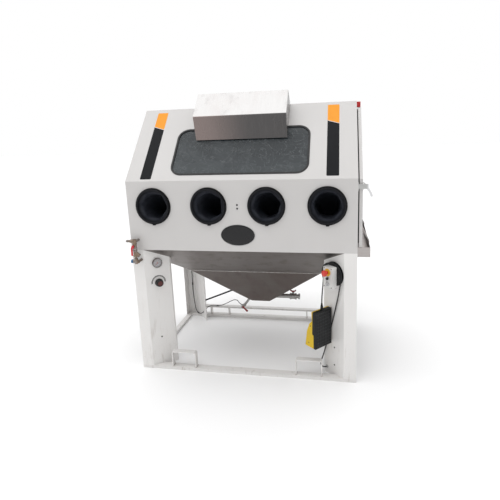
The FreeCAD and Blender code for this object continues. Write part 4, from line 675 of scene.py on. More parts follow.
def plastic(name, tone, rough, grain_scale=1400, fade=0.12, shine=0.0, depth=0.00012):
    """Moulded plastic: a spark-eroded grain, slight fading, and faint rub marks."""
    shell = Finish(name)
    spark = shell.grain(grain_scale, 2.0, 0.6)
    cloud = shell.grain(11, 4.0, 0.55)
    rub = shell.grain(75, 4.0, 0.6, shell.stretched(1, 1, 3)).above(0.58, 0.14)
    pale = [value + (1 - value) * 0.12 for value in tone]
    colour = shell.blend(tone, [value * 0.86 for value in tone], cloud.above(0.4, 0.4))
    colour = shell.blend(colour, pale, rub * fade)
    return shell.done(colour, rough + spark * 0.1 + rub * 0.06, spark, depth, 0.35, Coat_Weight=shine,
                      Specular_IOR_Level=0.3)


motor_plastic = plastic("black moulding", (0.018, 0.018, 0.02), 0.42)
dress(motor_plastic, "wiper_motor")
dress(zinc, "wiper_arm")
blade_rubber = rubber("wiper rubber", (0.02, 0.02, 0.021), 0.5)
dress(blade_rubber, "wiper_blade")

# Lamp housing: brushed stainless sheet folded to a box and set over the top of the window, held by
# small rivets at its ends. A tube lamp sits behind its slanted front.


def painted_lamp_reflection(sheet, colour, line):
    """Painted reflection: darken the slanted front as if it mirrored dark surroundings, with more brown to
    its left.
    """
    along = sheet.axis("Y") - slope_foot.y
    rise = sheet.axis("Z") - slope_foot.z
    up = along * math.cos(slope_angle) + rise * math.sin(slope_angle)
    out = rise * math.cos(slope_angle) - along * math.sin(slope_angle)
    # Painted reflection: this mask covers the slanted front face, which is darkened as if it mirrored dark
    # surroundings.
    painted_reflection_front_mask = 1 - (up - out * (95 / 130) - 0.322).above(0.003, 0.002)
    painted_reflection_tone = sheet.blend((0.215, 0.175, 0.165), (0.085, 0.082, 0.082), sheet.axis("X").above(-0.30, 0.40))
    painted_reflection_tone = sheet.blend(painted_reflection_tone, (0.30, 0.28, 0.27), line.above(0.5, 0.3) * 0.3)
    return sheet.blend(colour, painted_reflection_tone, painted_reflection_front_mask)


slope_foot = slope_face.at(0, 0)
# The slanted front gets a painted reflection: its colour is darkened by place, as if it mirrored dark
# surroundings.
lamp_steel = stainless(
    "brushed lamp steel", (0.40, 0.395, 0.392), (0.375, 0.355, 0.35), (700, 8, 8), (slope_angle, 0, 0), 0.16,
    painted_lamp_reflection,
)
dress(lamp_steel, "lamp_housing")
opal = Finish("opal lamp tube")
haze = opal.grain(20, 2.0)
opal.done(opal.blend((0.90, 0.90, 0.87), (0.84, 0.84, 0.82), haze), 0.25 + haze * 0.1)
dress(opal, "lamp_tube")
lamp_left = Face(slope_face.at(-315.5, 0) / MM, -slope_face.up, slope_face.out)
lamp_right = Face(slope_face.at(305.5, 0) / MM, slope_face.up, slope_face.out)
lamp_rivets = row(lamp_right, (400, 14), (600, 14), 4) + row(lamp_left, (-600, 14), (-400, 14), 4)
rivet_heads = screw_heads.make(
    "lamp_rivets", carrier("lamp rivet places", lamp_rivets), zinc, Radius=0.0032, Height=0.0014, Drive=0.2
)
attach(rivet_heads, "cabinet")

# Stripes and badge: two vinyl stripes on the slope, orange over black with a slanted join, and a
# plain domed oval plate with a grey rim on the front. Two dark bolts sit between the middle ports.


def flat_plate(name, face, outline, height, finish, edge=0.1):
    """A thin plate with a softened edge, standing on a face."""
    outer = [face.at(point.x, point.y, 0.02) for point, inward in outline]
    rim = [face.at(point.x, point.y, height - edge) for point, inward in outline]
    lip = []
    for point, inward in outline:
        spot = point + inward * edge
        lip.append(face.at(spot.x, spot.y, height))
    count = len(outline)
    faces = [tuple(reversed(range(count))), tuple(range(2 * count, 3 * count))]
    for level in range(2):
        for number in range(count):
            following = (number + 1) % count
            faces.append((
                level * count + number, level * count + following,
                (level + 1) * count + following, (level + 1) * count + number,
            ))
    return piece(name, outer + rim + lip, faces, finish)


def stripe_vinyl(name, left_edge, width):
    """Orange vinyl over black, with a thin pale line at their slanted join."""
    vinyl = Finish(name)
    up = (vinyl.axis("Z") - slope_foot_height * MM) * (1 / math.sin(slope_angle))
    join = 0.463 - (vinyl.axis("X") - left_edge * MM) * (28 / width)
    upper = (up - join).above(0.0, 0.0006)
    line = (up - join + 0.004).above(0.0, 0.0006) * (1 - upper)
    cloud = vinyl.grain(16, 4.0)
    wear = vinyl.grain(120, 4.0, 0.6).above(0.62, 0.08)
    orange = vinyl.blend((0.93, 0.38, 0.045), (0.87, 0.33, 0.04), cloud)
    black = vinyl.blend((0.006, 0.0065, 0.008), (0.011, 0.012, 0.014), cloud)
    colour = vinyl.blend(black, orange, upper)
    colour = vinyl.blend(colour, (0.75, 0.74, 0.73), line)
    ripple = vinyl.grain(30, 2.0)
    return vinyl.done(colour, 0.46 + wear * 0.14, ripple, 0.0003, 0.15, Specular_IOR_Level=0.1)


for name, left_edge, low, high in (
    ("left_stripe", -650.0, 15.0, 590.0), ("right_stripe", 561.0, 22.0, 597.0)
):
    outline = rounded(
        [(left_edge, low), (left_edge + 76.5, low), (left_edge + 76.5, high), (left_edge, high)], 7, 6
    )
    stripe = flat_plate(name, slope_face, outline, 0.45, stripe_vinyl(name + " vinyl", left_edge, 76.5))
    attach(stripe, "cabinet")


def oval(face, half_right, half_up, rings, steps=96):
    """Rings of an oval: each ring gives how far in from the edge it is and how high."""
    points = []
    for inset, height in rings:
        for step in range(steps):
            turn = 2 * math.pi * step / steps
            points.append(face.at(
                (half_right - inset) * math.cos(turn), (half_up - inset) * math.sin(turn), height
            ))
    faces = []
    for level in range(len(rings) - 1):
        for step in range(steps):
            following = (step + 1) % steps
            faces.append((
                level * steps + step, level * steps + following,
                (level + 1) * steps + following, (level + 1) * steps + step,
            ))
    return points, faces, steps


badge_face = front_face.moved(-2, 991, 0)
badge_resin = Finish("black badge resin")
smear = badge_resin.grain(22, 4.0, 0.6)
speck = badge_resin.grain(500, 2.0).above(0.66, 0.05)
badge_resin.done(
    badge_resin.blend((0.006, 0.006, 0.007), (0.02, 0.02, 0.021), smear * 0.4 + speck * 0.4),
    0.16 + smear * 0.14, Coat_Weight=0.1, Specular_IOR_Level=0.3,
)
points, faces, steps = oval(
    badge_face, 111.5, 68.0, [(0.0, 0.05), (0.0, 1.4), (1.2, 2.1), (4.0, 2.6), (14.0, 3.0), (40.0, 3.2)]
)
faces.append(tuple(reversed(range(steps))))
faces.append(tuple(range(len(points) - steps, len(points))))
badge = piece("badge_plate", points, faces, badge_resin)
badge_grey = plastic("badge rim grey", (0.50, 0.50, 0.49), 0.3, shine=0.3)
points, faces, steps = oval(
    badge_face, 115.5, 72.0, [(0.0, 0.05), (0.2, 1.6), (1.2, 2.6), (2.8, 2.7), (3.9, 1.9), (3.9, 0.05)]
)
for step in range(steps):
    following = (step + 1) % steps
    faces.append((5 * steps + step, 5 * steps + following, following, step))
badge_rim = piece("badge_rim", points, faces, badge_grey, 50)
for part in (badge, badge_rim):
    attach(part, "cabinet")
bolt_heads = screw_heads.make(
    "front_bolts", carrier("front bolt places", row(front_face, (1, 1187), (1, 1164), 2)), steel_black,
    Sides=6, Radius=0.0068, Height=0.0042, Drive=0.5,
)
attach(bolt_heads, "cabinet")

# Arm ports: a black ring in the sheet, a rubber gauntlet stretched over its neck, and a black band
# with a worm screw. Each sleeve creases into a six-sided tunnel and droops to a five-fingered glove.
port_black = plastic("port ring black", (0.006, 0.006, 0.007), 0.55)
dress(port_black, "arm_port_rings")
band_steel = metal("black clamp band", (0.016, 0.016, 0.017), 0.45, (120, 120, 120), 0.1)
dress(band_steel, "port_clamp_bands")
port_height = 1180.0
port_pitch = 378.0
glove_rubber = Finish("gauntlet rubber")
pores = glove_rubber.grain(700, 2.0, 0.55)
talc = glove_rubber.grain(14, 4.0, 0.6).above(0.45, 0.3)
# Painted light: the rubber is paler further in through the port, standing in for light on the creases inside
# the sleeve. The pale talc dust is kept to that same inside.
inside_painted_light_and_talc = glove_rubber.axis("Y").above(-0.036, 0.03)
colour = glove_rubber.blend((0.006, 0.0065, 0.009), (0.036, 0.040, 0.052), inside_painted_light_and_talc)
colour = glove_rubber.blend(colour, (0.07, 0.074, 0.085), talc * inside_painted_light_and_talc * 0.4)
glove_rubber.done(colour, 0.5 + pores * 0.12, pores, 0.0002, 0.4, Specular_IOR_Level=0.2)
sleeve_line = [
    (-3.6, 0.0, 113.6, 0.0, 0.0), (-9.0, 0.0, 113.6, 0.0, 0.0), (-15.6, 0.0, 113.3, 0.0, 0.0),
    (-17.0, 0.0, 111.0, 0.0, 0.0), (-17.4, 0.0, 108.0, 0.0, 0.0), (-17.0, 0.0, 104.8, 0.0, 0.0),
    (-14.5, 0.0, 102.6, 0.0, 0.0), (-8.0, 0.0, 102.2, 0.0, 0.02), (-1.0, 0.0, 101.4, 0.2, 0.06),
    (7.0, 0.5, 99.0, 0.8, 0.10), (14.0, 1.0, 96.5, 1.0, 0.14), (34.0, 2.0, 95.5, 1.0, 0.2),
    (52.0, 3.0, 93.0, 0.75, 0.45), (76.0, 5.0, 92.0, 1.0, 0.62), (104.0, 6.0, 90.0, 0.8, 0.85),
    (135.0, 9.0, 88.0, 1.0, 0.95),
    (165.0, 14.0, 87.0, 0.7, 1.1), (200.0, 25.0, 81.0, 0.85, 1.3), (235.0, 38.0, 76.0, 0.5, 1.4),
    (270.0, 53.0, 71.0, 0.6, 1.6), (305.0, 75.0, 66.0, 0.3, 1.7), (340.0, 98.0, 61.0, 0.4, 1.8),
    (375.0, 127.0, 55.0, 0.2, 1.9), (400.0, 149.0, 47.0, 0.1, 2.0),
]


def sleeve_rings(face, seed):
    """Rings down the sleeve: a circle at the cuff that creases towards a turning hexagon."""
    steps = 72
    rings = []
    for depth, drop, radius, crease, twist in sleeve_line:
        ring = []
        for step in range(steps):
            turn = 2 * math.pi * step / steps
            wedge = (turn + twist + seed * 0.35) % (math.pi / 3) - math.pi / 6
            hexagon = math.cos(math.pi / 6) / math.cos(wedge)
            wrinkle = noise.noise(Vector((
                math.cos(turn) * 2.2, math.sin(turn) * 2.2, depth * 0.02 + seed * 9
            )))
            reach = radius * (1 + crease * (hexagon - 1) * 0.9 + min(crease, 1) * 0.03 * (wrinkle - 0.6))
            lean = math.atan2(drop, max(depth, 1)) * 0.5
            up = reach * math.sin(turn)
            ring.append(face.at(
                reach * math.cos(turn), up * math.cos(lean) - drop, -depth + up * math.sin(lean)
            ))
        rings.append(ring)
    return rings


def finger_rings(face, root, way, radius, length, curl):
    """A drooping tube with a rounded tip, for one finger."""
    rings = []
    side = Vector((1, 0, 0))
    for share, swell in (
        (0.0, 1.0), (0.2, 1.04), (0.4, 0.96), (0.55, 1.02), (0.72, 0.93), (0.86, 0.8), (0.95, 0.55),
        (1.0, 0.2),
    ):
        bend = curl * share
        heading = Vector((way[0], way[1] * math.cos(bend) + way[2] * math.sin(bend) * -1,
                          way[2] * math.cos(bend) + way[1] * math.sin(bend))).normalized()
        middle = Vector(root) + heading * (length * share)
        up = heading.cross(side).normalized()
        ring = []
        for step in range(16):
            turn = 2 * math.pi * step / 16
            spot = middle + side * (radius * swell * math.cos(turn)) + up * (radius * swell * math.sin(turn))
            ring.append(face.at(spot.x, spot.y, spot.z))
        rings.append(ring)
    return rings


def skin(points, faces, rings, close_start, close_end):
    """Add a tube through the rings to a mesh in the making."""
    base = len(points)
    width = len(rings[0])
    for ring in rings:
        points.extend(ring)
    for level in range(len(rings) - 1):
        for step in range(width):
            following = (step + 1) % width
            faces.append((
                base + level * width + step, base + level * width + following,
                base + (level + 1) * width + following, base + (level + 1) * width + step,
            ))
    if close_start:
        faces.append(tuple(base + step for step in reversed(range(width))))
    if close_end:
        last = base + (len(rings) - 1) * width
        faces.append(tuple(last + step for step in range(width)))


for name, numbers, node in (
    ("outer_gloves", (0, 3), "outer_gauntlets"), ("inner_gloves", (1, 2), "inner_gauntlets")
):
    points = []
    faces = []
    for number in numbers:
        port = front_face.moved((number - 1.5) * port_pitch, port_height)
        rings = sleeve_rings(port, number)
        palm = []
        for depth, drop, wide, thick in (
            (415, 163, 43, 30), (430, 178, 42, 24), (446, 193, 38, 18), (452, 199, 30, 12)
        ):
            ring = []
            for step in range(72):
                turn = 2 * math.pi * step / 72
                ring.append(port.at(
                    wide * math.cos(turn), thick * math.sin(turn) * 0.75 - drop,
                    -depth + thick * math.sin(turn) * 0.6,
                ))
            palm.append(ring)
        skin(points, faces, rings + palm, False, True)
        for finger in range(4):
            root = (-27 + finger * 18, -184, -436)
            skin(points, faces, finger_rings(port, root, (0, -0.62, -0.78), 9.6, 34, 0.5), True, True)
        thumb = (38 if number % 2 else -38, -160, -408)
        thumb_way = (0.2 if number % 2 else -0.2, -0.8, -0.5)
        skin(points, faces, finger_rings(port, thumb, thumb_way, 10.5, 34, 0.3), True, True)
    gloves = piece(name, points, faces, glove_rubber, 70)
    walls = gloves.modifiers.new("rubber wall", "SOLIDIFY")
    walls.thickness = 0.0016
    walls.offset = 0.0
    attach(gloves, "cabinet")
    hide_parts(node)
worm_screws = []
for number in range(4):
    port = front_face.moved((number - 1.5) * port_pitch, port_height)
    side = Face(port.at(9, -121, 9) / MM, (0, 1, 0), (0, 0, 1))
    worm_screws.append((side.at(0, 0), (1, 0, 0), (0, 0, 1)))
worm_heads = screw_heads.make(
    "band_screws", carrier("band screw places", worm_screws), steel_black, Sides=6, Radius=0.0034,
    Height=0.004, Drive=0.5,
)
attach(worm_heads, "cabinet")

# Work floor: an open plated grating over the hopper, with two cast aluminium blast guns laid on it.
# Slurry has left both grey and rough.
grate_steel = metal("worn grating", (0.42, 0.41, 0.40), 0.42, (140, 140, 140), 0.2, (0.33, 0.30, 0.27))
dress(grate_steel, "work_grate")
gun_cast = metal("cast aluminium", (0.60, 0.60, 0.61), 0.42, (420, 420, 420), 0.15)
dress(gun_cast, "blast_guns", "regulator_body")

# Side door: a folded panel on two plated hinges, closed on a sponge seal by a chromed lever latch,
# with a safety switch at its top. A stainless trough under it catches water that runs off.
dress(cabinet_coat, "door_panel")
dress(zinc, "fixed_hinges", "door_hardware")
chrome = metal("chrome plate", (0.72, 0.72, 0.73), 0.10, (90, 90, 90), 0.12)
dress(chrome, "latch_handle", "button_bezels")
tray_steel = stainless("trough steel", (0.45, 0.42, 0.41), (0.42, 0.37, 0.35), (4, 300, 300))
dress(tray_steel, "drip_tray")
switch_red = plastic("switch red", (0.50, 0.03, 0.03), 0.35, shine=0.2)
dress(switch_red, "door_switch")
door_inner = Face((758, 0, 0), (0, -1, 0), (0, 0, 1))
seal_outline = rounded(
    [(-869.0, 936.0), (-4.0, 936.0), (-4.0, 1334.1), (-363.1, 1762.0), (-869.0, 1762.0)], 26, 8
)
sponge = rubber("door seal sponge", (0.016, 0.016, 0.017), 0.6, 0.3, 520)
door_seal = strip(
    "door_sponge_seal", door_inner, seal_outline,
    [[(0.6, 0.1), (0.6, 2.2), (2.2, 4.6), (5.0, 6.8), (9.0, 7.5), (13.0, 7.0), (16.0, 4.8), (17.4, 2.4),
      (19.4, 2.0), (19.4, 0.1)]],
    sponge,
)
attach(door_seal, "door")
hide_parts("door_seal")
spigot_zinc = metal("rolled spigot steel", (0.60, 0.60, 0.60), 0.30, (30, 30, 240), 0.14)
dress(spigot_zinc, "exhaust_spigot")
flange_screws = []
exhaust_face = back_face.moved(0, 1640, 3)
for number in range(8):
    turn = 2 * math.pi * (number + 0.5) / 8
    flange_screws.append((
        exhaust_face.at(85 * math.cos(turn), 85 * math.sin(turn)), exhaust_face.out, exhaust_face.right
    ))
flange_heads = screw_heads.make(
    "spigot_screws", carrier("spigot screw places", flange_screws), zinc, Radius=0.0042, Height=0.0022
)
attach(flange_heads, "cabinet")

# Left leg: a pressure gauge with a pale printed dial, and below it the regulator's fluted knob inside
# a printed arc of marks. The gauge's case is steel, its pointer red and its lens clear plastic.
gauge_face = left_leg.moved(87, 774, 0)
gauge_steel = metal("gauge case steel", (0.20, 0.18, 0.17), 0.24, (100, 100, 100), 0.1)
dress(gauge_steel, "gauge_case")
dial_print = Finish("printed dial")
foxing = dial_print.grain(120, 4.0, 0.6)
dial_print.done(
    dial_print.blend((0.44, 0.41, 0.42), (0.34, 0.31, 0.32), foxing.above(0.4, 0.4)), 0.5 + foxing * 0.1
)
ink = Finish("black print")
wear = ink.grain(900, 3.0, 0.6)
ink.done(ink.blend((0.022, 0.02, 0.02), (0.10, 0.085, 0.08), wear.above(0.5, 0.3)), 0.45 + wear * 0.1)
dial = flat_plate(
    "gauge_dial", gauge_face.moved(0, 0, 6.0),
    rounded([(-28, -28), (28, -28), (28, 28), (-28, 28)], 27.99, 16), 0.35, dial_print,
)
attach(dial, "cabinet")


def bar_recipe():
    """Small raised bars with narrowed tops, for ticks and moulded ribs."""
    recipe = Recipe("bars", Length=0.004, Width=0.001, Height=0.001)
    bar = recipe.node(
        "GeometryNodeMeshCube", {},
        {"Size": recipe.node(
            "ShaderNodeCombineXYZ", {},
            {"X": recipe.size("Length"), "Y": recipe.size("Width"), "Z": recipe.size("Height")},
        )},
    )
    normal = recipe.node("GeometryNodeInputNormal")
    top = recipe.maths_above(recipe.node("ShaderNodeSeparateXYZ", {}, {"Vector": normal}, "Z"), 0.9)
    cap = recipe.node(
        "GeometryNodeExtrudeMesh", {"mode": "FACES"},
        {"Mesh": bar, "Selection": top, "Offset Scale": recipe.size("Height") * 0.25},
    )
    cap = recipe.node("GeometryNodeScaleElements", {}, {"Geometry": cap, "Selection": top, "Scale": 0.86})
    spots = recipe.node(
        "GeometryNodeInstanceOnPoints", {},
        {"Points": recipe.size("Carrier"), "Instance": cap, "Rotation": recipe.turned_out()},
    )
    recipe.end(spots)
    return recipe


bars = bar_recipe()


def arc_spots(face, radius, start, end, count, out):
    """Spots round an arc, each running out from its middle, with angles in degrees."""
    spots = []
    for number in range(count):
        turn = math.radians(start + (end - start) * number / (count - 1))
        way = face.right * math.cos(turn) + face.up * math.sin(turn)
        spots.append((face.at(radius * math.cos(turn), radius * math.sin(turn), out), face.out, way))
    return spots


minor_ticks = bars.make(
    "gauge_minor_ticks", carrier("minor ticks", arc_spots(gauge_face, 25.4, 225, -45, 51, 6.4)), ink,
    Length=0.0022, Width=0.0003, Height=0.0001,
)
major_ticks = bars.make(
    "gauge_major_ticks", carrier("major ticks", arc_spots(gauge_face, 24.6, 225, -45, 11, 6.4)), ink,
    Length=0.0038, Width=0.0006, Height=0.0001,
)
for part in (minor_ticks, major_ticks):
    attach(part, "cabinet")


def number_mesh(name, text, height, spot, face, finish):
    """A printed number, raised by a hair, as plain mesh."""
    words = bpy.data.curves.new(name, "FONT")
    words.body = text
    words.size = height * MM
    words.align_x = "CENTER"
    words.align_y = "CENTER"
    words.extrude = 0.00004
    words.resolution_u = 3
    shown = bpy.data.objects.new(name, words)
    bpy.context.scene.collection.objects.link(shown)
    mesh = bpy.data.meshes.new_from_object(shown.evaluated_get(bpy.context.evaluated_depsgraph_get()))
    bpy.data.objects.remove(shown)
    stand = Matrix((face.right, face.up, face.out)).transposed().to_4x4()
    stand.translation = face.at(*spot)
    mesh.transform(stand)
    mesh.materials.clear()
    mesh.materials.append(finish.material)
    made = bpy.data.objects.new(name, mesh)
    bpy.context.scene.collection.objects.link(made)
    return made


for number in range(6):
    turn = math.radians(225 - 270 * number / 5)
    figure = number_mesh(
        "gauge_number_%d" % number, str(number * 2), 6.4,
        (18.0 * math.cos(turn), 18.0 * math.sin(turn), 6.45), gauge_face, ink,
    )
    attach(figure, "cabinet")
clear_lens = Finish("clear gauge lens")
scratch = clear_lens.grain(1.0, 3.0, 0.6, clear_lens.stretched(90, 90, 900))
clear_lens.done(
    clear_lens.blend((0.80, 0.82, 0.83), (0.70, 0.72, 0.73), scratch), 0.06 + scratch * 0.1, Alpha=0.16
)
dress(clear_lens, "gauge_lens")
needle_paint = plastic("pointer red", (0.55, 0.035, 0.03), 0.35)
dress(needle_paint, "gauge_needle")
regulator_face = left_leg.moved(87, 632, 0)
scale_marks = bars.make(
    "regulator_scale", carrier("regulator scale", arc_spots(regulator_face, 46.5, -4, 184, 48, 0.08)), ink,
    Length=0.0095, Width=0.0024, Height=0.00016,
)
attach(scale_marks, "cabinet")


def lathe(name, face, profile, finish, steps=40, crease=35):
    """Turn a profile of radius and height round a face's out axis."""
    points = []
    faces = []
    for radius, height in profile:
        for step in range(steps):
            turn = 2 * math.pi * step / steps
            points.append(face.at(radius * math.cos(turn), radius * math.sin(turn), height))
    for level in range(len(profile) - 1):
        for step in range(steps):
            following = (step + 1) % steps
            faces.append((
                level * steps + step, level * steps + following,
                (level + 1) * steps + following, (level + 1) * steps + step,
            ))
    faces.append(tuple(reversed(range(steps))))
    faces.append(tuple(range(len(points) - steps, len(points))))
    return piece(name, points, faces, finish, crease)


knob_black = plastic("knob black", (0.016, 0.016, 0.017), 0.36, 1200, 0.25)
dress(knob_black, "regulator_knob")
cap_brown = plastic("knob cap brown red", (0.09, 0.016, 0.014), 0.3, shine=0.3)
knob_cap = lathe(
    "regulator_cap", regulator_face,
    [(17.0, 37.6), (17.0, 38.3), (16.4, 38.9), (15.6, 38.9), (15.0, 38.4), (9.0, 38.4), (8.6, 38.7),
     (0.4, 38.8)],
    cap_brown,
)
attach(knob_cap, "regulator_dial")

# Water inlet: brass and plated fittings screwed together on the left front edge, a ball valve with a
# red dipped lever, a strainer and a tap with a blue knob, sealed with white thread tape.
fitting = Finish("mixed fittings")
plated = fitting.grain(30, 3.0, 0.6)
tarnish = fitting.grain(95, 5.0, 0.65)
colour = fitting.blend((0.30, 0.27, 0.25), (0.27, 0.18, 0.11), plated.above(0.46, 0.12) * 0.6)
colour = fitting.blend(colour, (0.08, 0.06, 0.05), tarnish.above(0.5, 0.2) * 0.6)
fitting.done(colour, 0.28 + tarnish * 0.22, tarnish, 0.0002, 0.3, Metallic=1.0)
dress(fitting, "inlet_pipework")
lever_red = plastic("dipped lever red", (0.55, 0.02, 0.035), 0.28, 300, 0.3, 0.5, 0.0004)
dress(lever_red, "inlet_lever")
tap_blue = plastic("tap blue", (0.02, 0.12, 0.26), 0.3, 900, 0.3, 0.3)
dress(tap_blue, "inlet_tap_knob")
tape = Finish("thread tape")
wrap = tape.grain(1.0, 3.0, 0.6, tape.stretched(60, 60, 1600))
tape.done(tape.blend((0.86, 0.86, 0.85), (0.66, 0.64, 0.60), wrap.above(0.45, 0.3)), 0.5 + wrap * 0.2,
          wrap, 0.0003, 0.5)
upright = Face((-703, -68, 0), (1, 0, 0), (0, 1, 0))
for name, low, radius in (("upper_thread_tape", 939.0, 9.6), ("lower_thread_tape", 897.2, 9.6)):
    turns = [(radius - 0.6, low)]
    for number in range(5):
        turns += [(radius, low + number * 0.9 + 0.2), (radius + 0.25, low + number * 0.9 + 0.6)]
    turns.append((radius - 0.6, low + 5.0))
    taped = lathe(name, upright, turns, tape, 28, 60)
    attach(taped, "cabinet")

# Right leg: a black cord reel on the leg, a light grey control box in front of it with a red
# mushroom stop in a yellow collar, a push button and a selector, each in a chromed bezel.
dress(plastic("reel black", (0.008, 0.0085, 0.009), 0.42, 1100, 0.3), "cord_reel")
reel_face = right_leg.moved(-84, 730, 35)
reel_spots = []
for number in range(18):
    turn = 2 * math.pi * number / 18
    way = reel_face.right * math.cos(turn) + reel_face.up * math.sin(turn)
    reel_spots.append((
        reel_face.at(58 * math.cos(turn), 58 * math.sin(turn), 0.5), reel_face.out, way
    ))
reel_ribs = bars.make(
    "reel_ribs", carrier("reel rib places", reel_spots), knob_black, Length=0.034, Width=0.0022, Height=0.0016
)
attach(reel_ribs, "cabinet")
box_grey = plastic("control box grey", (0.66, 0.655, 0.64), 0.36, 1500, 0.3)
dress(box_grey, "control_case", "control_cover")
dress(plastic("collar yellow", (0.72, 0.40, 0.015), 0.34, 1200, 0.2, 0.2), "estop_shroud")
stop_red = plastic("mushroom red", (0.66, 0.045, 0.03), 0.26, 1800, 0.1, 0.4)
dress(stop_red, "estop_button")
dress(knob_black, "start_button")
dress(plastic("selector grey", (0.48, 0.48, 0.48), 0.3, 1500, 0.2, 0.2), "selector_knob")
box_screws = []
for a in (39.0, 100.0):
    for height in (664.0, 785.0):
        box_screws.append((right_leg.at(-a, height, 75.0), right_leg.out, right_leg.right))
box_heads = screw_heads.make(
    "control_screws", carrier("control screw places", box_screws), steel_black, Radius=0.0036, Height=0.0016
)
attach(box_heads, "cabinet")
stop_face = right_leg.moved(-69.5, 759, 0)
arrow_white = plastic("printed white", (0.78, 0.76, 0.74), 0.4)
arrow_spots = []
for start in (20, 140, 260):
    arrow_spots += arc_spots(stop_face, 12.5, start, start + 62, 9, 116.35)
for number, spot in enumerate(arrow_spots):
    arrow_spots[number] = (spot[0], spot[1], spot[1].cross(spot[2]))
arrows = bars.make(
    "stop_turn_marks", carrier("stop turn marks", arrow_spots), arrow_white,
    Length=0.0019, Width=0.0011, Height=0.0004,
)
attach(arrows, "stop_button")

# Foot pedal: a black moulded base with ribs under it, a yellow hood and a treadle. It hangs on its
# cord, and the cord runs over the reel, down the leg and in through a grommet.
pedal_face = Face(right_leg.at(-96, 248, 87) / MM, right_leg.out, (0, 0, 1))
base_black = plastic("pedal base black", (0.008, 0.0085, 0.009), 0.46, 900, 0.35, 0.0, 0.0003)
dress(base_black, "pedal_base", "pedal_treadle")
hood_yellow = plastic("pedal hood yellow", (0.70, 0.47, 0.018), 0.42, 700, 0.35, 0.1, 0.0003)
dress(hood_yellow, "pedal_hood")
under = -pedal_face.out
rib_black = plastic("pedal rib black", (0.030, 0.032, 0.034), 0.4, 900, 0.35, 0.0, 0.0003)
rib_spots = []
for number in range(9):
    rib_spots.append((pedal_face.at(-60 + number * 15, 125, -0.3), under, (0, 0, 1)))
long_ribs = bars.make(
    "pedal_long_ribs", carrier("long rib places", rib_spots), rib_black,
    Length=0.226, Width=0.0026, Height=0.0022,
)
rib_spots = []
for number in range(11):
    rib_spots.append((pedal_face.at(0, 15 + number * 22, -0.2), under, pedal_face.right))
cross_ribs = bars.make(
    "pedal_cross_ribs", carrier("cross rib places", rib_spots), rib_black,
    Length=0.124, Width=0.0026, Height=0.0020,
)
for part in (long_ribs, cross_ribs):
    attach(part, "cabinet")
hood_screws = []
for side in (-1, 1):
    for up, height in ((28.0, 62.0), (150.0, 45.0)):
        hood_screws.append((pedal_face.at(side * 73.0, up, height), pedal_face.right * side, (0, 0, 1)))
hood_heads = screw_heads.make(
    "hood_screws", carrier("hood screw places", hood_screws), steel_black, Radius=0.004, Height=0.0018
)
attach(hood_heads, "cabinet")
boot_face = Face(right_leg.at(-111, 519, 87) / MM, (1, 0, 0), (0, 1, 0))
boot_profile = [(4.4, 0.0), (9.0, 0.0)]
for number in range(6):
    radius = 8.8 - number * 0.62
    low = number * 4.2
    boot_profile += [
        (radius, low + 0.6), (radius, low + 2.8), (radius - 1.0, low + 3.2), (radius - 1.0, low + 4.2)
    ]
boot_profile += [(5.0, 26.4), (4.4, 27.0)]
boot = lathe("pedal_cord_boot", boot_face, boot_profile, base_black, 28)
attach(boot, "cabinet")
jacket = rubber("cord jacket", (0.030, 0.030, 0.032), 0.42, 0.35, 1500)


def hose(name, points, diameter, finish):
    """A cord on one smooth line through its route's points."""
    line = bpy.data.curves.new(name, "CURVE")
    line.dimensions = "3D"
    line.bevel_depth = diameter / 2
    line.bevel_resolution = 5
    line.resolution_u = 12
    line.use_fill_caps = True
    spline = line.splines.new("NURBS")
    spline.points.add(len(points) - 1)
    for place, point in zip(spline.points, points):
        place.co = (*point, 1.0)
    spline.order_u = 3
    spline.use_endpoint_u = True
    line.materials.append(finish.material)
    made = bpy.data.objects.new(name, line)
    bpy.context.scene.collection.objects.link(made)
    return made


lead_points = []
for a, height, off in ((111, 520, 87), (111, 554, 87), (121, 604, 73), (143, 652, 43), (161, 696, 21)):
    lead_points.append(right_leg.at(-a, height, off))
wrap_reach = 75 / math.cos(math.radians(17))
for turn in (174, 146, 112, 78, 44, 12):
    angle = math.radians(turn)
    lead_points.append(right_leg.at(
        -(84 - wrap_reach * math.cos(angle)), 730 + wrap_reach * math.sin(angle), 17.5
    ))
for a, height, off in (
    (14, 690, 17), (26, 640, 15), (40, 584, 12.5), (57, 528, 9.5), (73, 470, 7.5), (90, 412, 6.5),
    (107, 354, 6), (124, 296, 6), (141, 240, 7), (156, 188, 8.5), (167, 142, 14), (171, 104, 28.5),
    (170, 84, 42), (163, 60, 40), (155, 46, 24), (151, 45, 4),
):
    lead_points.append(right_leg.at(-a, height, off))
pedal_lead = hose("pedal_lead", lead_points, 0.008, jacket)
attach(pedal_lead, "cabinet")
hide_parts("pedal_cord")

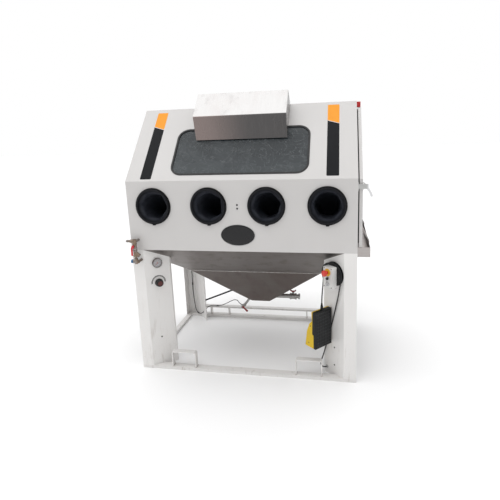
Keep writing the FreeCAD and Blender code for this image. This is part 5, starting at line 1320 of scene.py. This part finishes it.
# Under the hopper: a steel ball valve on the drain with a dipped wing handle, a small sampling valve
# with a red lever, a black overflow pipe, and a thin air line with push-in joiners up the rear leg.
valve_steel = metal("valve steel", (0.44, 0.43, 0.42), 0.34, (260, 260, 260), 0.16, (0.33, 0.29, 0.25))
dress(valve_steel, "drain_valve", "sample_valve")
dress(zinc, "line_fittings")
handle_red = plastic("valve handle red", (0.26, 0.03, 0.03), 0.34, 400, 0.35, 0.3, 0.0004)
dress(handle_red, "drain_handle", "sample_lever")
pipe_black = rubber("overflow pipe black", (0.022, 0.022, 0.023), 0.4, 0.3, 1100)
dress(pipe_black, "overflow_pipe")
air_points = [(-178.1, 629, 230.2), (-195.6, 629, 243.5)]
air_points += [
    (-212, 650, 256), (-246, 672, 250), (-285, 702, 224), (-326, 740, 190), (-368, 780, 158),
    (-410, 818, 128), (-452, 842, 110), (-494, 850, 109), (-532, 852, 104), (-560, 846, 84),
    (-578, 828, 62), (-596, 812, 46), (-622, 818, 37), (-650, 838, 40), (-674, 862, 60),
    (-688, 880, 96), (-696, 885, 146), (-700, 886, 196), (-701, 886, 246), (-700.5, 885.5, 296),
    (-700, 887, 344), (-699.5, 886, 394), (-700, 883, 440), (-700, 880, 480), (-700, 880, 510),
]
air_hose = hose("air_hose", [Vector(point) * MM for point in air_points], 0.006, jacket)


def line_of(cord):
    """Points along a cord's own spline."""
    bare = cord.data.copy()
    bare.bevel_depth = 0
    shown = bpy.data.objects.new("route", bare)
    bpy.context.scene.collection.objects.link(shown)
    mesh = bpy.data.meshes.new_from_object(shown.evaluated_get(bpy.context.evaluated_depsgraph_get()))
    route = [vertex.co.copy() for vertex in mesh.vertices]
    bpy.data.objects.remove(shown)
    return route


route = line_of(air_hose)
joiner_black = plastic("joiner black", (0.02, 0.022, 0.025), 0.32, 1600, 0.2, 0.2)
for number, target in enumerate(((-0.452, 0.842, 0.110), (-0.640, 0.830, 0.038), (-0.700, 0.886, 0.300))):
    nearest = min(range(1, len(route) - 1), key=lambda i: (route[i] - Vector(target)).length)
    way = (route[nearest + 1] - route[nearest - 1]).normalized()
    side = way.orthogonal().normalized()
    place = Face(route[nearest] / MM, side, way.cross(side))
    joiner = lathe(
        "air_joiner_%d" % number, place,
        [(3.1, -11.0), (5.2, -11.0), (5.6, -10.2), (5.6, -7.6), (5.0, -7.2), (5.0, 7.2), (5.6, 7.6),
         (5.6, 10.2), (5.2, 11.0), (3.1, 11.0)],
        joiner_black, 24,
    )
    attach(joiner, "cabinet")
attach(air_hose, "cabinet")
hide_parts("air_line")
